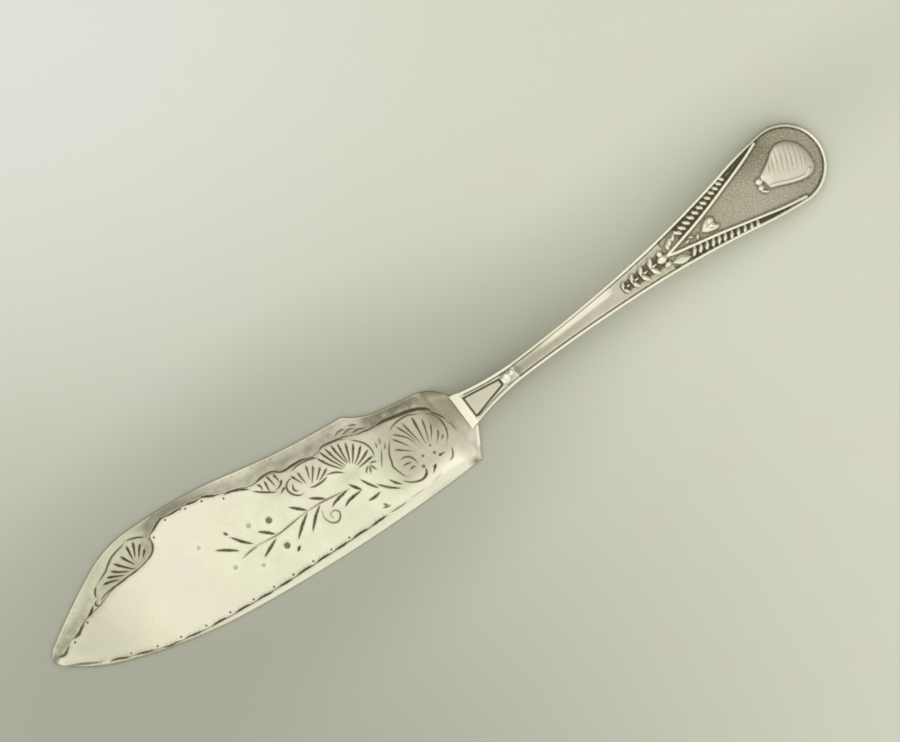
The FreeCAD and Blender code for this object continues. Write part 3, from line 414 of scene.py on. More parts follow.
# The little veined leaf of the broad end. Shoulder is how far in from its outline its slope reaches.
bud = {
    "outline": [(59.8, -0.3), (60.7, 0.7), (61.8, 1.15), (62.9, 1.2), (63.4, 0.4), (63.0, -0.4), (63.7, -1.4),
                (62.8, -1.8), (61.5, -1.5), (60.5, -1.1)],
    "height": 0.56, "shoulder": 0.9,
}
# The pale shell at the handle's end: its outline and its rolled lower lip.
shell = {
    "outline": [
        (76.2, 1.3), (77.7, 2.2), (79.5, 3.1), (80.9, 4.1), (82.5, 4.7), (84.1, 4.5), (85.4, 3.7),
        (86.6, 2.2), (87.2, 0.4), (87.3, -1.7), (86.9, -3.3), (85.9, -4.4), (84.2, -4.75), (82.0, -4.2),
        (80.1, -3.35), (78.2, -2.5), (76.7, -1.8), (76.4, -0.3),
    ],
    "height": 0.62, "shoulder": 2.6,
    "lip": [(77.0, -1.6), (78.2, -2.05), (79.6, -2.7), (81.2, -3.4), (83.0, -3.95), (84.4, -4.1),
            (85.6, -3.6)],
    "lipHalf": 0.42, "lipHeight": 0.2,
}

# The points of the mesh: how far apart they stand, in lines and in areas from fine relief to plain silver,
# and how far the rows beside a line lie from it. A gap is how near a point may come to the edge or, as a
# share of an area's step, to another point.
spacing = {
    "outline": 0.32, "line": 0.5, "fineLine": 0.25, "row": 0.2, "same": 0.075, "sameRow": 0.028,
    "rimRows": (0.03, 0.1, 0.2, 0.34, 0.5), "handleRows": (0.42, 0.5, 0.58, 0.66, 0.76, 0.86, 0.95, 1.05),
    "handleFrom": 0.5, "wideRimFrom": 76, "besideCut": 0.13, "wideCut": 0.15, "barRows": (0.17, 0.25, 0.33),
    "shellRows": (-0.06, 0.05, 0.2), "dotRings": (0.45, 0.8, 1.15), "dotSides": 10,
    "rimGap": 0.025, "lineGap": 0.1, "areaGap": 0.62, "cutsReach": 0.75,
    "areas": [("cast", 0.155, (38, -9), (91, 9)), ("neck", 0.22, (-7.2, -8.6), (12.6, 8.6)),
              ("channel", 0.3, (12.6, -4), (38, 4)), ("cuts", 0.25, (-99, -10.5), (-5, 22)),
              ("margin", 0.6, (-99, -10.5), (0, 22.4))],
    "belowRows": (0.08, 0.25), "belowArea": ((-99, -10.5), (91, 22.4), 1.3), "belowGap": 0.06,
    "belowSame": 0.05,
}

outline = walkArcs(outlineCorners, spacing["outline"])
fieldLine = smoothLine(fieldCorners, spacing["line"], closed=True)
shellLine = smoothLine(shell["outline"], spacing["fineLine"], closed=True)
lipLine = smoothLine(shell["lip"], spacing["row"])
barLines = [smoothLine(relief[name], spacing["row"]) for name in ("upperBar", "lowerBar")]
budLine = smoothLine(bud["outline"], spacing["fineLine"], closed=True)

# Each cut as its line, half width, whether it is a fan or even, and its tone.
graverCuts = []
for group in engraving.values():
    kind = group.get("fan"), group.get("even"), group.get("tone", 1)
    for points in group["cuts"]:
        graverCuts.append((smoothLine(points, spacing["row"]), group["width"] / 2, *kind))

# Small oblique nicks on the field's side of each stroke of the border.
nicks = {"places": (0.25, 0.5, 0.75), "length": 0.65, "turn": 58, "half": 0.17, "tone": 0.7}
for name, side in (("edgeBorder", 1), ("backBorder", -1)):
    turn = side * math.radians(nicks["turn"])
    for points in engraving[name]["cuts"]:
        line = smoothLine(points, spacing["row"])
        for share in nicks["places"]:
            k = int(share * (len(line) - 2))
            run = (line[k + 1] - line[k]) / np.linalg.norm(line[k + 1] - line[k])
            run *= math.copysign(1, run[0])
            lean = np.array([run[0] * math.cos(turn) - run[1] * math.sin(turn),
                             run[0] * math.sin(turn) + run[1] * math.cos(turn)])
            nick = smoothLine([line[k], line[k] + lean * nicks["length"]], spacing["row"])
            graverCuts.append((nick, nicks["half"], True, False, nicks["tone"]))


# How a cut's width changes along it. A fan cut opens over its first part and loses a share of its width to
# its end. The others swell from both ends. Each has a least width.
swell = {
    "fanOpens": 0.22, "fanLeast": 0.06, "fanLoses": 0.75, "ends": (0.02, 0.98), "power": 0.6, "least": 0.22,
}


def cutHalfWidth(along, half, fan, even):
    if even:
        return half + 0 * along
    if fan:
        opened = np.sqrt(np.clip(along / swell["fanOpens"], swell["fanLeast"], 1))
        return half * opened * (1 - swell["fanLoses"] * along)
    bulge = np.sin(np.pi * np.clip(along, *swell["ends"])) ** swell["power"]
    return half * np.clip(bulge, swell["least"], 1)


def offsetLine(line, distance, closed=False):
    if closed:
        d = np.roll(line, -1, axis=0) - np.roll(line, 1, axis=0)
    else:
        d = np.gradient(line, axis=0)
    d /= np.linalg.norm(d, axis=1)[:, None]
    distance = np.broadcast_to(distance, (len(line),))[:, None]
    return line + np.column_stack([d[:, 1], -d[:, 0]]) * distance


def hexGrid(low, high, step):
    ys = np.arange(low[1], high[1], step * math.sqrt(0.75))
    xs = np.arange(low[0], high[0], step)
    gx, gy = np.meshgrid(xs, ys)
    gx = gx + (np.arange(len(ys)) % 2)[:, None] * step / 2
    return np.column_stack([gx.ravel(), gy.ravel()])


def spread(points, gap, kept=()):
    # keeps the points that stand at least a gap away from those kept before them
    cells, result = {}, []
    for given, test in ((kept, False), (points, True)):
        for px, py in given:
            key = (int(px // gap), int(py // gap))
            if test and any((px - qx) ** 2 + (py - qy) ** 2 < gap * gap
                            for i in (-1, 0, 1) for j in (-1, 0, 1)
                            for qx, qy in cells.get((key[0] + i, key[1] + j), ())):
                continue
            cells.setdefault(key, []).append((px, py))
            if test:
                result.append((px, py))
    return np.array(result).reshape(-1, 2)


def keepInside(points, gap):
    d, _ = lineDistance(points[:, 0], points[:, 1], outline, True)
    return points[(d > gap) & isInside(points[:, 0], points[:, 1], outline)]


def topPoints():
    rows = [offsetLine(outline, inset, True) for inset in spacing["rimRows"]]
    handleRows = [offsetLine(outline, inset, True) for inset in spacing["handleRows"]]
    # the innermost row follows the rim only round the broad end, where the rim is wider
    for k, row in enumerate(handleRows):
        kept = (row[:, 0] > spacing["wideRimFrom"]) | (k < len(handleRows) - 1)
        rows.append(row[(row[:, 0] > spacing["handleFrom"]) & kept])
    fixed = spread(keepInside(np.vstack(rows), spacing["rimGap"]), spacing["sameRow"], outline)
    lines = []
    for line, half, fan, even, _ in graverCuts:
        wide = cutHalfWidth(np.linspace(0, 1, len(line)), half, fan, even)
        lines += [line, offsetLine(line, wide), offsetLine(line, -wide)]
        if half > spacing["wideCut"]:
            beside = wide + spacing["besideCut"]
            lines += [offsetLine(line, beside), offsetLine(line, -beside)]
    for line in barLines:
        lines += [line] + [offsetLine(line, s * w) for s in (-1, 1) for w in spacing["barRows"]]
    lines += [offsetLine(shellLine, w, True) for w in spacing["shellRows"]]
    for dx, dy, r in dots + berries:
        a = np.linspace(0, 2 * np.pi, spacing["dotSides"] + 1)[:-1]
        for k in spacing["dotRings"]:
            lines.append(np.column_stack([dx + r * k * np.cos(a), dy + r * k * np.sin(a)]))
        lines.append(np.array([(dx, dy)]))
    lines = keepInside(np.vstack(lines), spacing["lineGap"])
    fixed = np.vstack([fixed, spread(lines, spacing["same"], fixed)])
    allCuts = treeOf(np.vstack([cut[0] for cut in graverCuts] + [np.array(dots + berries)[:, :2]]))
    for name, step, low, high in spacing["areas"]:
        grid = hexGrid(low, high, step)
        grid = grid[isInside(grid[:, 0], grid[:, 1], outline)]
        if name == "cuts":
            grid = grid[[allCuts.find((px, py, 0))[2] < spacing["cutsReach"] for px, py in grid]]
        fixed = np.vstack([fixed, spread(grid, step * spacing["areaGap"], np.vstack([outline, fixed]))])
    return fixed


# How deep the graver went for its width, how the film lies in and beside a cut,
# and the punched dots and ring-shaped berries.
graver = {
    "depth": 0.6, "film": (0.5, 1.25, 0.05), "fullWidth": 0.17, "faintest": 0.5, "halo": 0.55,
    "bladeHalo": 0.3, "handleHalo": 0.12, "dotDepth": 0.16, "dotTone": 0.62, "dotFilm": (0.5, 1.3),
    "berryDepth": 0.13, "berryRing": (0.72, 0.36), "berryFilm": (0.4, 1.3), "largeBerry": 0.6,
    "berryTones": (0.8, 0.36),
}


def cutDepths(x, y):
    depth, dark, halo = np.zeros(len(x)), np.zeros(len(x)), np.zeros(len(x))
    filmFrom, filmTo, soft = graver["film"]
    for line, half, fan, even, tone in graverCuts:
        low, high = line.min(0) - 1, line.max(0) + 1
        near = np.flatnonzero((x > low[0]) & (x < high[0]) & (y > low[1]) & (y < high[1]))
        if len(near) == 0:
            continue
        d, along = lineDistance(x[near], y[near], line)
        wide = cutHalfWidth(along, half, fan, even)
        depth[near] = np.maximum(depth[near], graver["depth"] * wide * np.clip(1 - d / wide, 0, 1))
        shade = 1 - ease(filmFrom * wide, filmTo * wide + soft, d)
        shade = shade * np.clip(wide / graver["fullWidth"], graver["faintest"], 1)
        dark[near] = np.maximum(dark[near], tone * shade)
        halo[near] += np.exp(-(d / graver["halo"]) ** 2) * wide
    filmFrom, filmTo = graver["dotFilm"]
    for dx, dy, r in dots:
        d = np.hypot(x - dx, y - dy)
        depth = np.maximum(depth, graver["dotDepth"] * np.clip(1 - (d / r) ** 2, 0, 1))
        dark = np.maximum(dark, graver["dotTone"] * (1 - ease(filmFrom * r, filmTo * r, d)))
    ring, ringHalf = graver["berryRing"]
    filmFrom, filmTo = graver["berryFilm"]
    for dx, dy, r in berries:
        d = np.hypot(x - dx, y - dy)
        tone = graver["berryTones"][0 if r > graver["largeBerry"] else 1]
        cut = np.clip(1 - np.abs(d - ring * r) / (ringHalf * r), 0, 1)
        depth = np.maximum(depth, graver["berryDepth"] * cut)
        dark = np.maximum(dark, tone * (1 - ease(filmFrom * r, filmTo * r, d)))
    return depth, dark, np.clip(halo, 0, 1)


def oval(x, y, cx, cy, long, short, turn):
    c, s = math.cos(math.radians(turn)), math.sin(math.radians(turn))
    return ((x - cx) * c + (y - cy) * s) / long, ((y - cy) * c - (x - cx) * s) / short


# Film and polish of the blade, with painted shade and painted highlights among them. A patch is its strength
# and the runs over which it comes in, each an axis, where it starts and where it is full. A spot is its
# strength, its middle and its half lengths. The margins' film also follows the share of the way from the edge
# to the border.
bladeTone = {
    "base": 0.05, "backBase": 0.02, "backShare": (0.5, 0.97), "stripShare": (0.98, 0.5), "borderWidth": 0.75,
    "stripGap": (-14, 4, 0.7), "shellSlope": (30, 0.11), "endEdgeHighlightDepth": (0.8, 0.5),
    "tip": (0.2, ("x", -70, -92)), "heel": (0.34, ("x", -27, -15), ("y", -7.2, -3.6)),
    "backSide": (0.16, ("x", -88, -70)), "backHeel": (0.2, ("x", -17, -10)),
    "backCrest": (0.2, ("x", -90, -80), ("x", -52, -62)), "edgeBorder": (0.16, ("x", -18, -27)),
    "backBorder": (0.16, ("x", -6, -9)), "shells": (0.2, ("x", -46, -40), ("y", 5.5, 9.5)),
    "cove": (0.3, ("x", -8.0, -5.6)), "coveBack": (0.2, ("x", -8.0, -5.6), ("y", -5.0, 1.5)),
    "strip": (0.75, ("x", -88, -66), ("x", -1.2, -6.5)), "lip": (1, ("x", -4.4, -3.6), ("y", -3.4, -4.0)),
    "heelCornerShade": (0.4, -5.0, -9.5, 1.2, 0.8), "heelPaintedHighlight": (0.8, -9.0, -7.6, 4.0, 1.3),
    "besideShellShade": (0.27, -6.8, 2.4, 1.6, 2.8), "fourthHinge": (0.16, -27.4, 3.3, 3.0, 1.6),
    "facet": (0.62, 0.38, 3, -3),
}


def patch(x, y, look):
    strength, *runs = look
    for axis, start, full in runs:
        strength = strength * ease(start, full, x if axis == "x" else y)
    return strength


def spot(x, y, look):
    strength, cx, cy, long, wide = look
    return strength * np.exp(-((x - cx) / long) ** 2 - ((y - cy) / wide) ** 2)


def bladeTop(x, y, dEdge, dField, inField, onBack):
    share = dEdge / (dEdge + dField + 1e-6)
    power = body["edgeSide"] + (body["backSide"] - body["edgeSide"]) * onBack
    z = body["edge"] + (body["field"] - body["edge"]) * np.where(inField, 1, share ** power)
    cx, cz = body["coveCentre"]
    cove = cz - np.sqrt(body["coveRadius"] ** 2 - np.clip(x - cx, 0, body["coveReach"]) ** 2)
    wide, slope = body["flank"]
    flank = body["edge"] + (wide - np.abs(y)) * slope
    cove = np.maximum(-softMax(-cove, -flank, body["flankBlend"]), body["edge"])
    z = z + (softMax(cove, z, body["coveBlend"]) - z) * ease(*body["coveStart"], x)
    return z - roundOff(dEdge, body["edgeRound"])


def bladeSilver(x, y, dEdge, dField, inField, onBack):
    look = bladeTone
    share = dEdge / (dEdge + dField + 1e-6)
    gapAt, gapLong, gapDepth = look["stripGap"]
    strip = patch(x, y, look["strip"]) * ease(*look["stripShare"], share)
    strip = strip * (1 - gapDepth * np.exp(-((x - gapAt) / gapLong) ** 2))
    # painted shade at the heel's lower corner, where the margin turns away: more film and less polish
    corner = spot(x, y, look["heelCornerShade"])
    # painted highlight: full polish in a thin line along the heel's end edge, below the shoulder
    lip = patch(x, y, look["lip"]) * ease(*look["endEdgeHighlightDepth"], dEdge)
    polish = (1 - onBack) * (1 - inField) * strip * (1 - corner / look["heelCornerShade"][0])
    # painted highlight: a broad spot of polish near the heel's lower edge
    polish = np.maximum(polish, np.maximum(lip, spot(x, y, look["heelPaintedHighlight"])))
    offset, slope = look["shellSlope"]
    field = np.maximum(patch(x, y, look["heel"]), patch(x, y + slope * (x + offset), look["shells"]))
    field = field + patch(x, y, look["tip"]) * inField
    border = np.where(y < 0, patch(x, y, look["edgeBorder"]), patch(x, y, look["backBorder"]))
    field = field + border * np.exp(-(dField / look["borderWidth"]) ** 2)
    # the spot beside the heel shell is painted shade; the spot at the fourth shell's hinge is film
    field = field + spot(x, y, look["besideShellShade"]) + spot(x, y, look["fourthHinge"])
    back = look["backBase"] + ease(*look["backShare"], share) * patch(x, y, look["backSide"])
    back = onBack * (1 - inField) * (back + patch(x, y, look["backHeel"]) + patch(x, y, look["backCrest"]))
    cove = (patch(x, y, look["cove"]) + patch(x, y, look["coveBack"])) * (1 - lip)
    return look["base"] + np.maximum(field, np.maximum(back, cove)) + corner, polish


def insideDepth(x, y, line):
    # which points lie near a closed line, and how deep inside it each of them is
    low, high = line.min(0), line.max(0)
    near = np.flatnonzero((x > low[0]) & (x < high[0]) & (y > low[1]) & (y < high[1]))
    d, _ = lineDistance(x[near], y[near], line, True)
    return near, np.where(isInside(x[near], y[near], line), d, 0)


def domed(share):
    return np.sqrt(1 - np.clip(1 - share, 0, 1) ** 2)


def raisedForms(x, y):
    raised = np.zeros(len(x))
    (long, longLess), (wide, wideLess) = relief["beadLong"], relief["beadWide"]
    for beads, turn in zip((relief["upperBeads"], relief["lowerBeads"]), relief["beadTurn"]):
        for bx, by in beads:
            past = bx - relief["beadFrom"]
            u, v = oval(x, y, bx, by, long - longLess * past, wide - wideLess * past, turn)
            raised = np.maximum(raised, relief["beadHeight"] * np.sqrt(np.clip(1 - u * u - v * v, 0, 1)))
    for cx, cy, leafLong, leafWide, turn, tall in leaves:
        u, v = oval(x, y, cx, cy, leafLong, leafWide, turn)
        room = np.clip(1 - u * u, 0, 1)
        raised = np.maximum(raised, tall * np.sqrt(np.clip(room - np.abs(v), 0, 1)))
    for cx, cy, knobLong, knobWide, turn, tall in knobs:
        u, v = oval(x, y, cx, cy, knobLong, knobWide, turn)
        raised = np.maximum(raised, tall * np.sqrt(np.clip(1 - u * u - v * v, 0, 1)))
    near, d = insideDepth(x, y, shellLine)
    dLip, _ = lineDistance(x[near], y[near], lipLine)
    lip = shell["lipHeight"] * np.sqrt(np.clip(1 - (dLip / shell["lipHalf"]) ** 2, 0, 1))
    dome = shell["height"] * domed(d / shell["shoulder"])
    raised[near] = np.maximum(raised[near], np.where(d > 0, dome + lip, 0))
    near, d = insideDepth(x, y, budLine)
    raised[near] = np.maximum(raised[near], bud["height"] * domed(d / bud["shoulder"]))
    return raised


def handleTop(x, y, dEdge):
    half = dEdge + np.abs(y)
    rim = relief["rim"] + (relief["endRim"] - relief["rim"]) * ease(*relief["endRimFrom"], x)
    inner = ease(rim - relief["rimSoft"], rim + relief["wall"], dEdge)
    rimTop = -relief["rimFall"] * np.clip((dEdge - rim / 2) / (rim / 2), 0, 1) ** 2
    lineAt = rim + relief["line"]
    started = ease(*relief["lineFrom"], x) * (half > lineAt + relief["lineRoom"])
    onLine = started * np.clip(1 - np.abs(dEdge - lineAt) / relief["lineHalf"], 0, 1)
    start = relief["channel"][0]
    across = np.clip(np.abs(y) / np.maximum(half - rim, 0.1), 0, 1)
    channel = relief["channelEdge"] + relief["channelDip"] * (1 - across ** 2)
    channel = ease(start, start + relief["channelRun"], x) * channel
    upper, lower = barLines
    dUpper, _ = lineDistance(x, y, upper)
    dLower, _ = lineDistance(x, y, lower)
    dBar = np.minimum(dUpper, dLower)
    betweenBars = (y < np.interp(x, upper[:, 0], upper[:, 1])) & (y > np.interp(x, lower[:, 0], lower[:, 1]))
    inFork = betweenBars | (x > relief["barsMeetRim"])
    floor = np.where(inFork, relief["ground"], relief["rope"])
    offBar = ease(relief["bar"], relief["bar"] + relief["wall"], dBar)
    barTop = relief["barTop"] - relief["barFall"] * np.clip(dBar / relief["bar"], 0, 1) ** 2
    past = ease(*relief["fork"], x)
    dip = channel * (1 - past) + (floor * offBar - barTop * (1 - offBar)) * past
    r = (1 - inner) * rimTop - inner * dip - relief["lineDepth"] * onLine * (1 - past)
    raised = raisedForms(x, y)
    foot = -np.where(x > relief["forkFloor"], floor, relief["channelEdge"] + relief["channelDip"])
    foot = np.where(x < relief["castStart"], r, foot)
    r = np.where(raised > 0, np.maximum(r, foot + raised), r)
    z = archTop(x) + r - roundOff(dEdge, body["handleRound"])
    return z, (inner, offBar, past, onLine, inFork, raised)


# Film and polish of the handle, in patches like the blade's, with painted shade on the upper rim and a
# painted highlight along the channel among them.
handleTone = {
    "ground": 0.5, "groundEnd": (0.03, ("x", 76, 84)),
    "groundUpper": (0.13, ("y", 1, 6), ("x", 66, 76), ("x", 84, 79)), "ropeBed": 0.4,
    "ropeBedEnd": (0.4, ("x", 54.5, 56.2)), "husks": 0.8, "line": 0.82, "lineShare": (0.1, 0.75),
    "channel": 0.2, "channelPastNeck": (0.17, ("x", 11, 14)), "channelHighlight": (1, ("x", 17, 24), ("x", 38.5, 36)),
    "channelHighlightAcross": ((0.12, 0.34), (0.8, 0.6)), "channelHighlightPolish": 0.7,
    "rimEndShade": (0.5, ("x", 72, 80), ("y", 1.5, 6)),
    "rimShaftShade": (0.2, ("y", 0.5, 1.5), ("x", 9, 13), ("x", 44, 36)), "bare": (0.06, 0.3),
    "rimPolish": (0.0, 0.1), "castPolish": 0.9, "shellFrom": 76.6, "shellPolish": 0.12, "shellFilm": 0.17,
}


def huskShade(x, y):
    start, half, widening = husk["band"]
    half = np.maximum(half + widening * (x - start), 0.3)
    return ease(start, start + husk["bandRun"], x) * (1 - ease(*husk["bandEdge"], np.abs(y) / half))


def handleSilver(x, y, dEdge, inner, offBar, past, onLine, inFork, raised):
    look = handleTone
    bare = ease(*look["bare"], raised)
    forkFilm = look["ground"] + (patch(x, y, look["groundEnd"]) + patch(x, y, look["groundUpper"]))
    ropeFilm = look["ropeBed"] + patch(x, y, look["ropeBedEnd"])
    ground = inner * offBar * past * np.where(inFork, forkFilm, ropeFilm)
    dark = np.maximum(ground, look["husks"] * huskShade(x, y) * inner * (1 - past)) * (1 - bare)
    lineFilm = look["line"] * ease(*look["lineShare"], onLine)
    dark = np.maximum(dark, lineFilm * np.where(x > relief["channel"][1], 1 - bare, 1))
    # painted highlight along the channel's upper side: no film and more polish there, the rest of it is
    # darkened
    across = y / np.maximum(dEdge + np.abs(y), 0.5)
    rise, fall = look["channelHighlightAcross"]
    channelHighlight = patch(x, y, look["channelHighlight"]) * ease(*rise, across) * ease(*fall, across)
    channelFilm = look["channel"] + patch(x, y, look["channelPastNeck"])
    film = inner * (1 - bare) * channelFilm * (1 - channelHighlight) * (1 - past)
    # painted shade on the upper side of the rim, round the broad end and along the shaft: more film, less
    # polish
    upperRimShade = (patch(x, y, look["rimEndShade"]) + patch(x, y, look["rimShaftShade"])) * (1 - inner)
    onShell = x > look["shellFrom"]
    film = np.maximum(np.maximum(film, upperRimShade), look["shellFilm"] * bare * onShell)
    polish = (1 - inner) * ease(*look["rimPolish"], dEdge) * (1 - 2 * upperRimShade)
    polish = np.maximum(polish, (1 - offBar) * past)
    polish = np.maximum(polish, bare * np.where(onShell, look["shellPolish"], look["castPolish"]))
    polish = np.maximum(polish, look["channelHighlightPolish"] * channelHighlight * (1 - past))
    return np.maximum(dark, film), polish, ground * (1 - bare)


# The punched ground of the broad end: a field of small pits, each a little off its place.
pits = {
    "low": (51, -9), "high": (91, 9), "step": 0.5, "stray": 0.17, "radius": 0.3, "depth": 0.1, "film": 0.1,
    "seed": 7,
}
pitRandom = np.random.default_rng(pits["seed"])
pitGrid = hexGrid(pits["low"], pits["high"], pits["step"])
pitTree = treeOf(pitGrid + pitRandom.uniform(-pits["stray"], pits["stray"], pitGrid.shape))


def groundPits(x, y):
    depth = np.zeros(len(x))
    near = np.flatnonzero(x > pits["low"][0])
    d = np.array([pitTree.find((x[k], y[k], 0))[2] for k in near])
    depth[near] = np.clip(1 - (d / pits["radius"]) ** 2, 0, 1)
    return depth


def knifeTop(x, y):
    dEdge, _ = lineDistance(x, y, outline, True)
    dField, _ = lineDistance(x, y, fieldLine, True)
    inField = isInside(x, y, fieldLine)
    tipAt, start, slope, blend = body["middle"]
    onBack = ease(-blend, blend, y - start - slope * (x - tipAt))
    blade = bladeTop(x, y, dEdge, dField, inField, onBack)
    # the blade's film holds painted shade among the tarnish, and its polish painted highlights
    bladeFilmAndShade, bladePolishAndHighlight = bladeSilver(x, y, dEdge, dField, inField, onBack)
    along = np.maximum(x, 0)
    handle, forms = handleTop(along, y, dEdge)
    film, polish, ground = handleSilver(along, y, dEdge, *forms)
    half, taper, steep = body["shoulderHalf"]
    beside = np.minimum(0, half - taper * (x - body["shoulder"]) - np.abs(y))
    facet = body["shoulderHeight"] + body["shoulderRise"] * (x - body["shoulder"]) + steep * beside
    onFacet = (x > body["shoulder"]) & (x < 0) & (facet > blade)
    z = np.where(x < 0, np.where(onFacet, facet, blade), handle)
    depth, cutFilm, halo = cutDepths(x, y)
    pitted = groundPits(x, y) * ground
    film = np.where(x > 0, film, np.where(onFacet, 0, bladeFilmAndShade))
    film = np.maximum(film + np.where(x < 0, graver["bladeHalo"], graver["handleHalo"]) * halo, cutFilm)
    # the shoulder facet has no film, and its polish is partly a painted highlight that grows towards its
    # lower side
    least, more, upper, lower = bladeTone["facet"]
    bladePolishAndHighlight = np.where(onFacet, least + more * ease(upper, lower, y), bladePolishAndHighlight)
    polish = np.where(x > 0, polish, bladePolishAndHighlight) * (1 - cutFilm)
    film = np.clip(film + pits["film"] * pitted, 0, 1)
    return z - depth - pits["depth"] * pitted, film, np.clip(polish, 0, 1)


def triangulate(points):
    loop = len(outline)
    edges = [(k, (k + 1) % loop) for k in range(loop)]
    coords = [Vector(p) for p in np.vstack([outline, points]).tolist()]
    insideOnly, nearness = 1, 1e-5
    found, _, faces, origins, _, _ = delaunay_2d_cdt(coords, edges, [], insideOnly, nearness)
    plan = np.array([tuple(p) for p in found])
    place = {old: new for new, olds in enumerate(origins) for old in olds if old < loop}
    return plan, np.array([f for f in faces if len(f) == 3]), [place[k] for k in range(loop)]


# Cavity is how far a point lies below the smoothed relief round it, as a share of the depth. Each pass of the
# smoothing keeps a share of a point's own height.
cavityLook = {"passes": 14, "kept": 0.4, "depth": 0.12}


def smoothed(values, faces):
    ends = np.vstack([faces[:, [0, 1]], faces[:, [1, 2]], faces[:, [2, 0]]])
    a, b = np.concatenate([ends[:, 0], ends[:, 1]]), np.concatenate([ends[:, 1], ends[:, 0]])
    count = np.maximum(np.bincount(a, minlength=len(values)), 1)
    kept = cavityLook["kept"]
    for _ in range(cavityLook["passes"]):
        values = kept * values + (1 - kept) * np.bincount(a, weights=values[b], minlength=len(values)) / count
    return values


def lowerSheet():
    points = [offsetLine(outline, inset, True) for inset in spacing["belowRows"]]
    points.append(hexGrid(*spacing["belowArea"]))
    points = keepInside(np.vstack(points), spacing["belowGap"])
    plan, faces, loop = triangulate(spread(points, spacing["belowSame"], outline))
    dEdge, _ = lineDistance(plan[:, 0], plan[:, 1], outline, True)
    return plan, faces, loop, archBelow(plan[:, 0]) + roundOff(dEdge, body["foot"])


def makeKnife():
    plan, faces, loop = triangulate(topPoints())
    z, tarnish, polish = knifeTop(plan[:, 0], plan[:, 1])
    cavity = np.clip((smoothed(z, faces) - z) / cavityLook["depth"], -1, 1)
    print("top sheet", len(plan), "points", len(faces), "triangles")
    lower, lowerFaces, lowerLoop, lowerZ = lowerSheet()
    print("lower sheet", len(lower), "points")
    start = len(plan)
    walls = []
    for k in range(len(loop)):
        n = (k + 1) % len(loop)
        walls.append((loop[k], loop[n], start + lowerLoop[n], start + lowerLoop[k]))
    verts = np.vstack([np.column_stack([plan, z]), np.column_stack([lower, lowerZ])])
    verts = np.clip(verts * drawing["unit"] + (shiftX, shiftY, 0), list(knifeLow), list(knifeHigh))
    polygons = faces.tolist() + (lowerFaces[:, ::-1] + start).tolist() + walls
    mesh = bpy.data.meshes.new("knife_dressed")
    mesh.from_pydata(verts.tolist(), [], polygons)
    mesh.update()
    # the first attribute holds tarnish with painted shade, the second polish with painted highlights
    for name, upper in (("tarnish", tarnish), ("polish", polish), ("cavity", cavity)):
        layer = mesh.attributes.new(name, "FLOAT", "POINT")
        layer.data.foreach_set("value", np.concatenate([upper, np.zeros(len(lower))]).astype(np.float32))
    mesh.polygons.foreach_set("use_smooth", [True] * len(mesh.polygons))
    knife = bpy.data.objects.new("knife_dressed", mesh)
    bpy.context.scene.collection.objects.link(knife)
    return knife


class Link:
    # a value in a material; arithmetic on it adds Math nodes
    def __init__(self, paint, socket):
        self.paint, self.socket = paint, socket

    def math(self, operation, *values):
        made = self.paint.node("ShaderNodeMath", {"operation": operation}, dict(enumerate(values)))
        return Link(self.paint, made.outputs[0])

    def __add__(self, other):
        return self.math("ADD", self, other)

    def __sub__(self, other):
        return self.math("SUBTRACT", self, other)

    def __rsub__(self, other):
        return self.math("SUBTRACT", other, self)

    def __mul__(self, other):
        return self.math("MULTIPLY", self, other)

    def clamped(self):
        held = self.math("ADD", self, 0.0)
        held.socket.node.use_clamp = True
        return held

    __radd__ = __add__
    __rmul__ = __mul__


class Paint:
    def __init__(self, tree):
        self.tree = tree
        tree.nodes.clear()

    def node(self, kind, settings=None, inputs=None):
        made = self.tree.nodes.new(kind)
        for name, value in (settings or {}).items():
            if name == "stops":
                ramp = made.color_ramp
                while len(ramp.elements) < len(value):
                    ramp.elements.new(0.5)
                for stop, (place, colour) in zip(ramp.elements, value):
                    stop.position, stop.color = place, colour
            else:
                setattr(made, name, value)
        for name, value in (inputs or {}).items():
            if isinstance(value, Link):
                self.tree.links.new(value.socket, made.inputs[name])
            else:
                made.inputs[name].default_value = value
        return made

    def link(self, kind, output, settings=None, inputs=None):
        return Link(self, self.node(kind, settings, inputs).outputs[output])

    def mix(self, factor, first, second):
        made = self.node("ShaderNodeMix", {"data_type": "RGBA", "clamp_factor": True})
        for name, value in (("Factor_Float", factor), ("A_Color", first), ("B_Color", second)):
            socket = next(s for s in made.inputs if s.identifier == name)
            if isinstance(value, Link):
                self.tree.links.new(value.socket, socket)
            else:
                socket.default_value = value
        return Link(self, next(s for s in made.outputs if s.identifier == "Result_Color"))


# Aged plate: the ramp runs from clean silver to black film, which also carries painted shade, and polished
# and rosy silver are mixed over it; the polished share also carries painted highlights.
silver = {
    "stops": [(0.0, (0.745, 0.74, 0.545, 1)), (0.3, (0.53, 0.52, 0.375, 1)), (0.62, (0.30, 0.28, 0.18, 1)),
              (0.86, (0.165, 0.148, 0.09, 1)), (1.0, (0.12, 0.105, 0.065, 1))],
    "polished": (0.90, 0.89, 0.72, 1), "polishedShare": 0.8, "rosy": (0.78, 0.705, 0.60, 1), "rosyShare": 0.7,
    "rosyFrom": 0.45, "rosySteep": 4.0, "patchScale": 38.0, "roughness": 0.33, "filmRoughness": 0.3,
    "polishSmooths": 0.06, "clouds": 0.3, "cloudScale": 75.0, "grain": 0.10, "grainScale": 1500.0,
    "cavity": 0.3, "scratchSize": (260.0, 4200.0, 900.0), "scratchTurn": 0.3, "bumpStrength": 0.22,
    "bumpHeight": 0.00004,
}


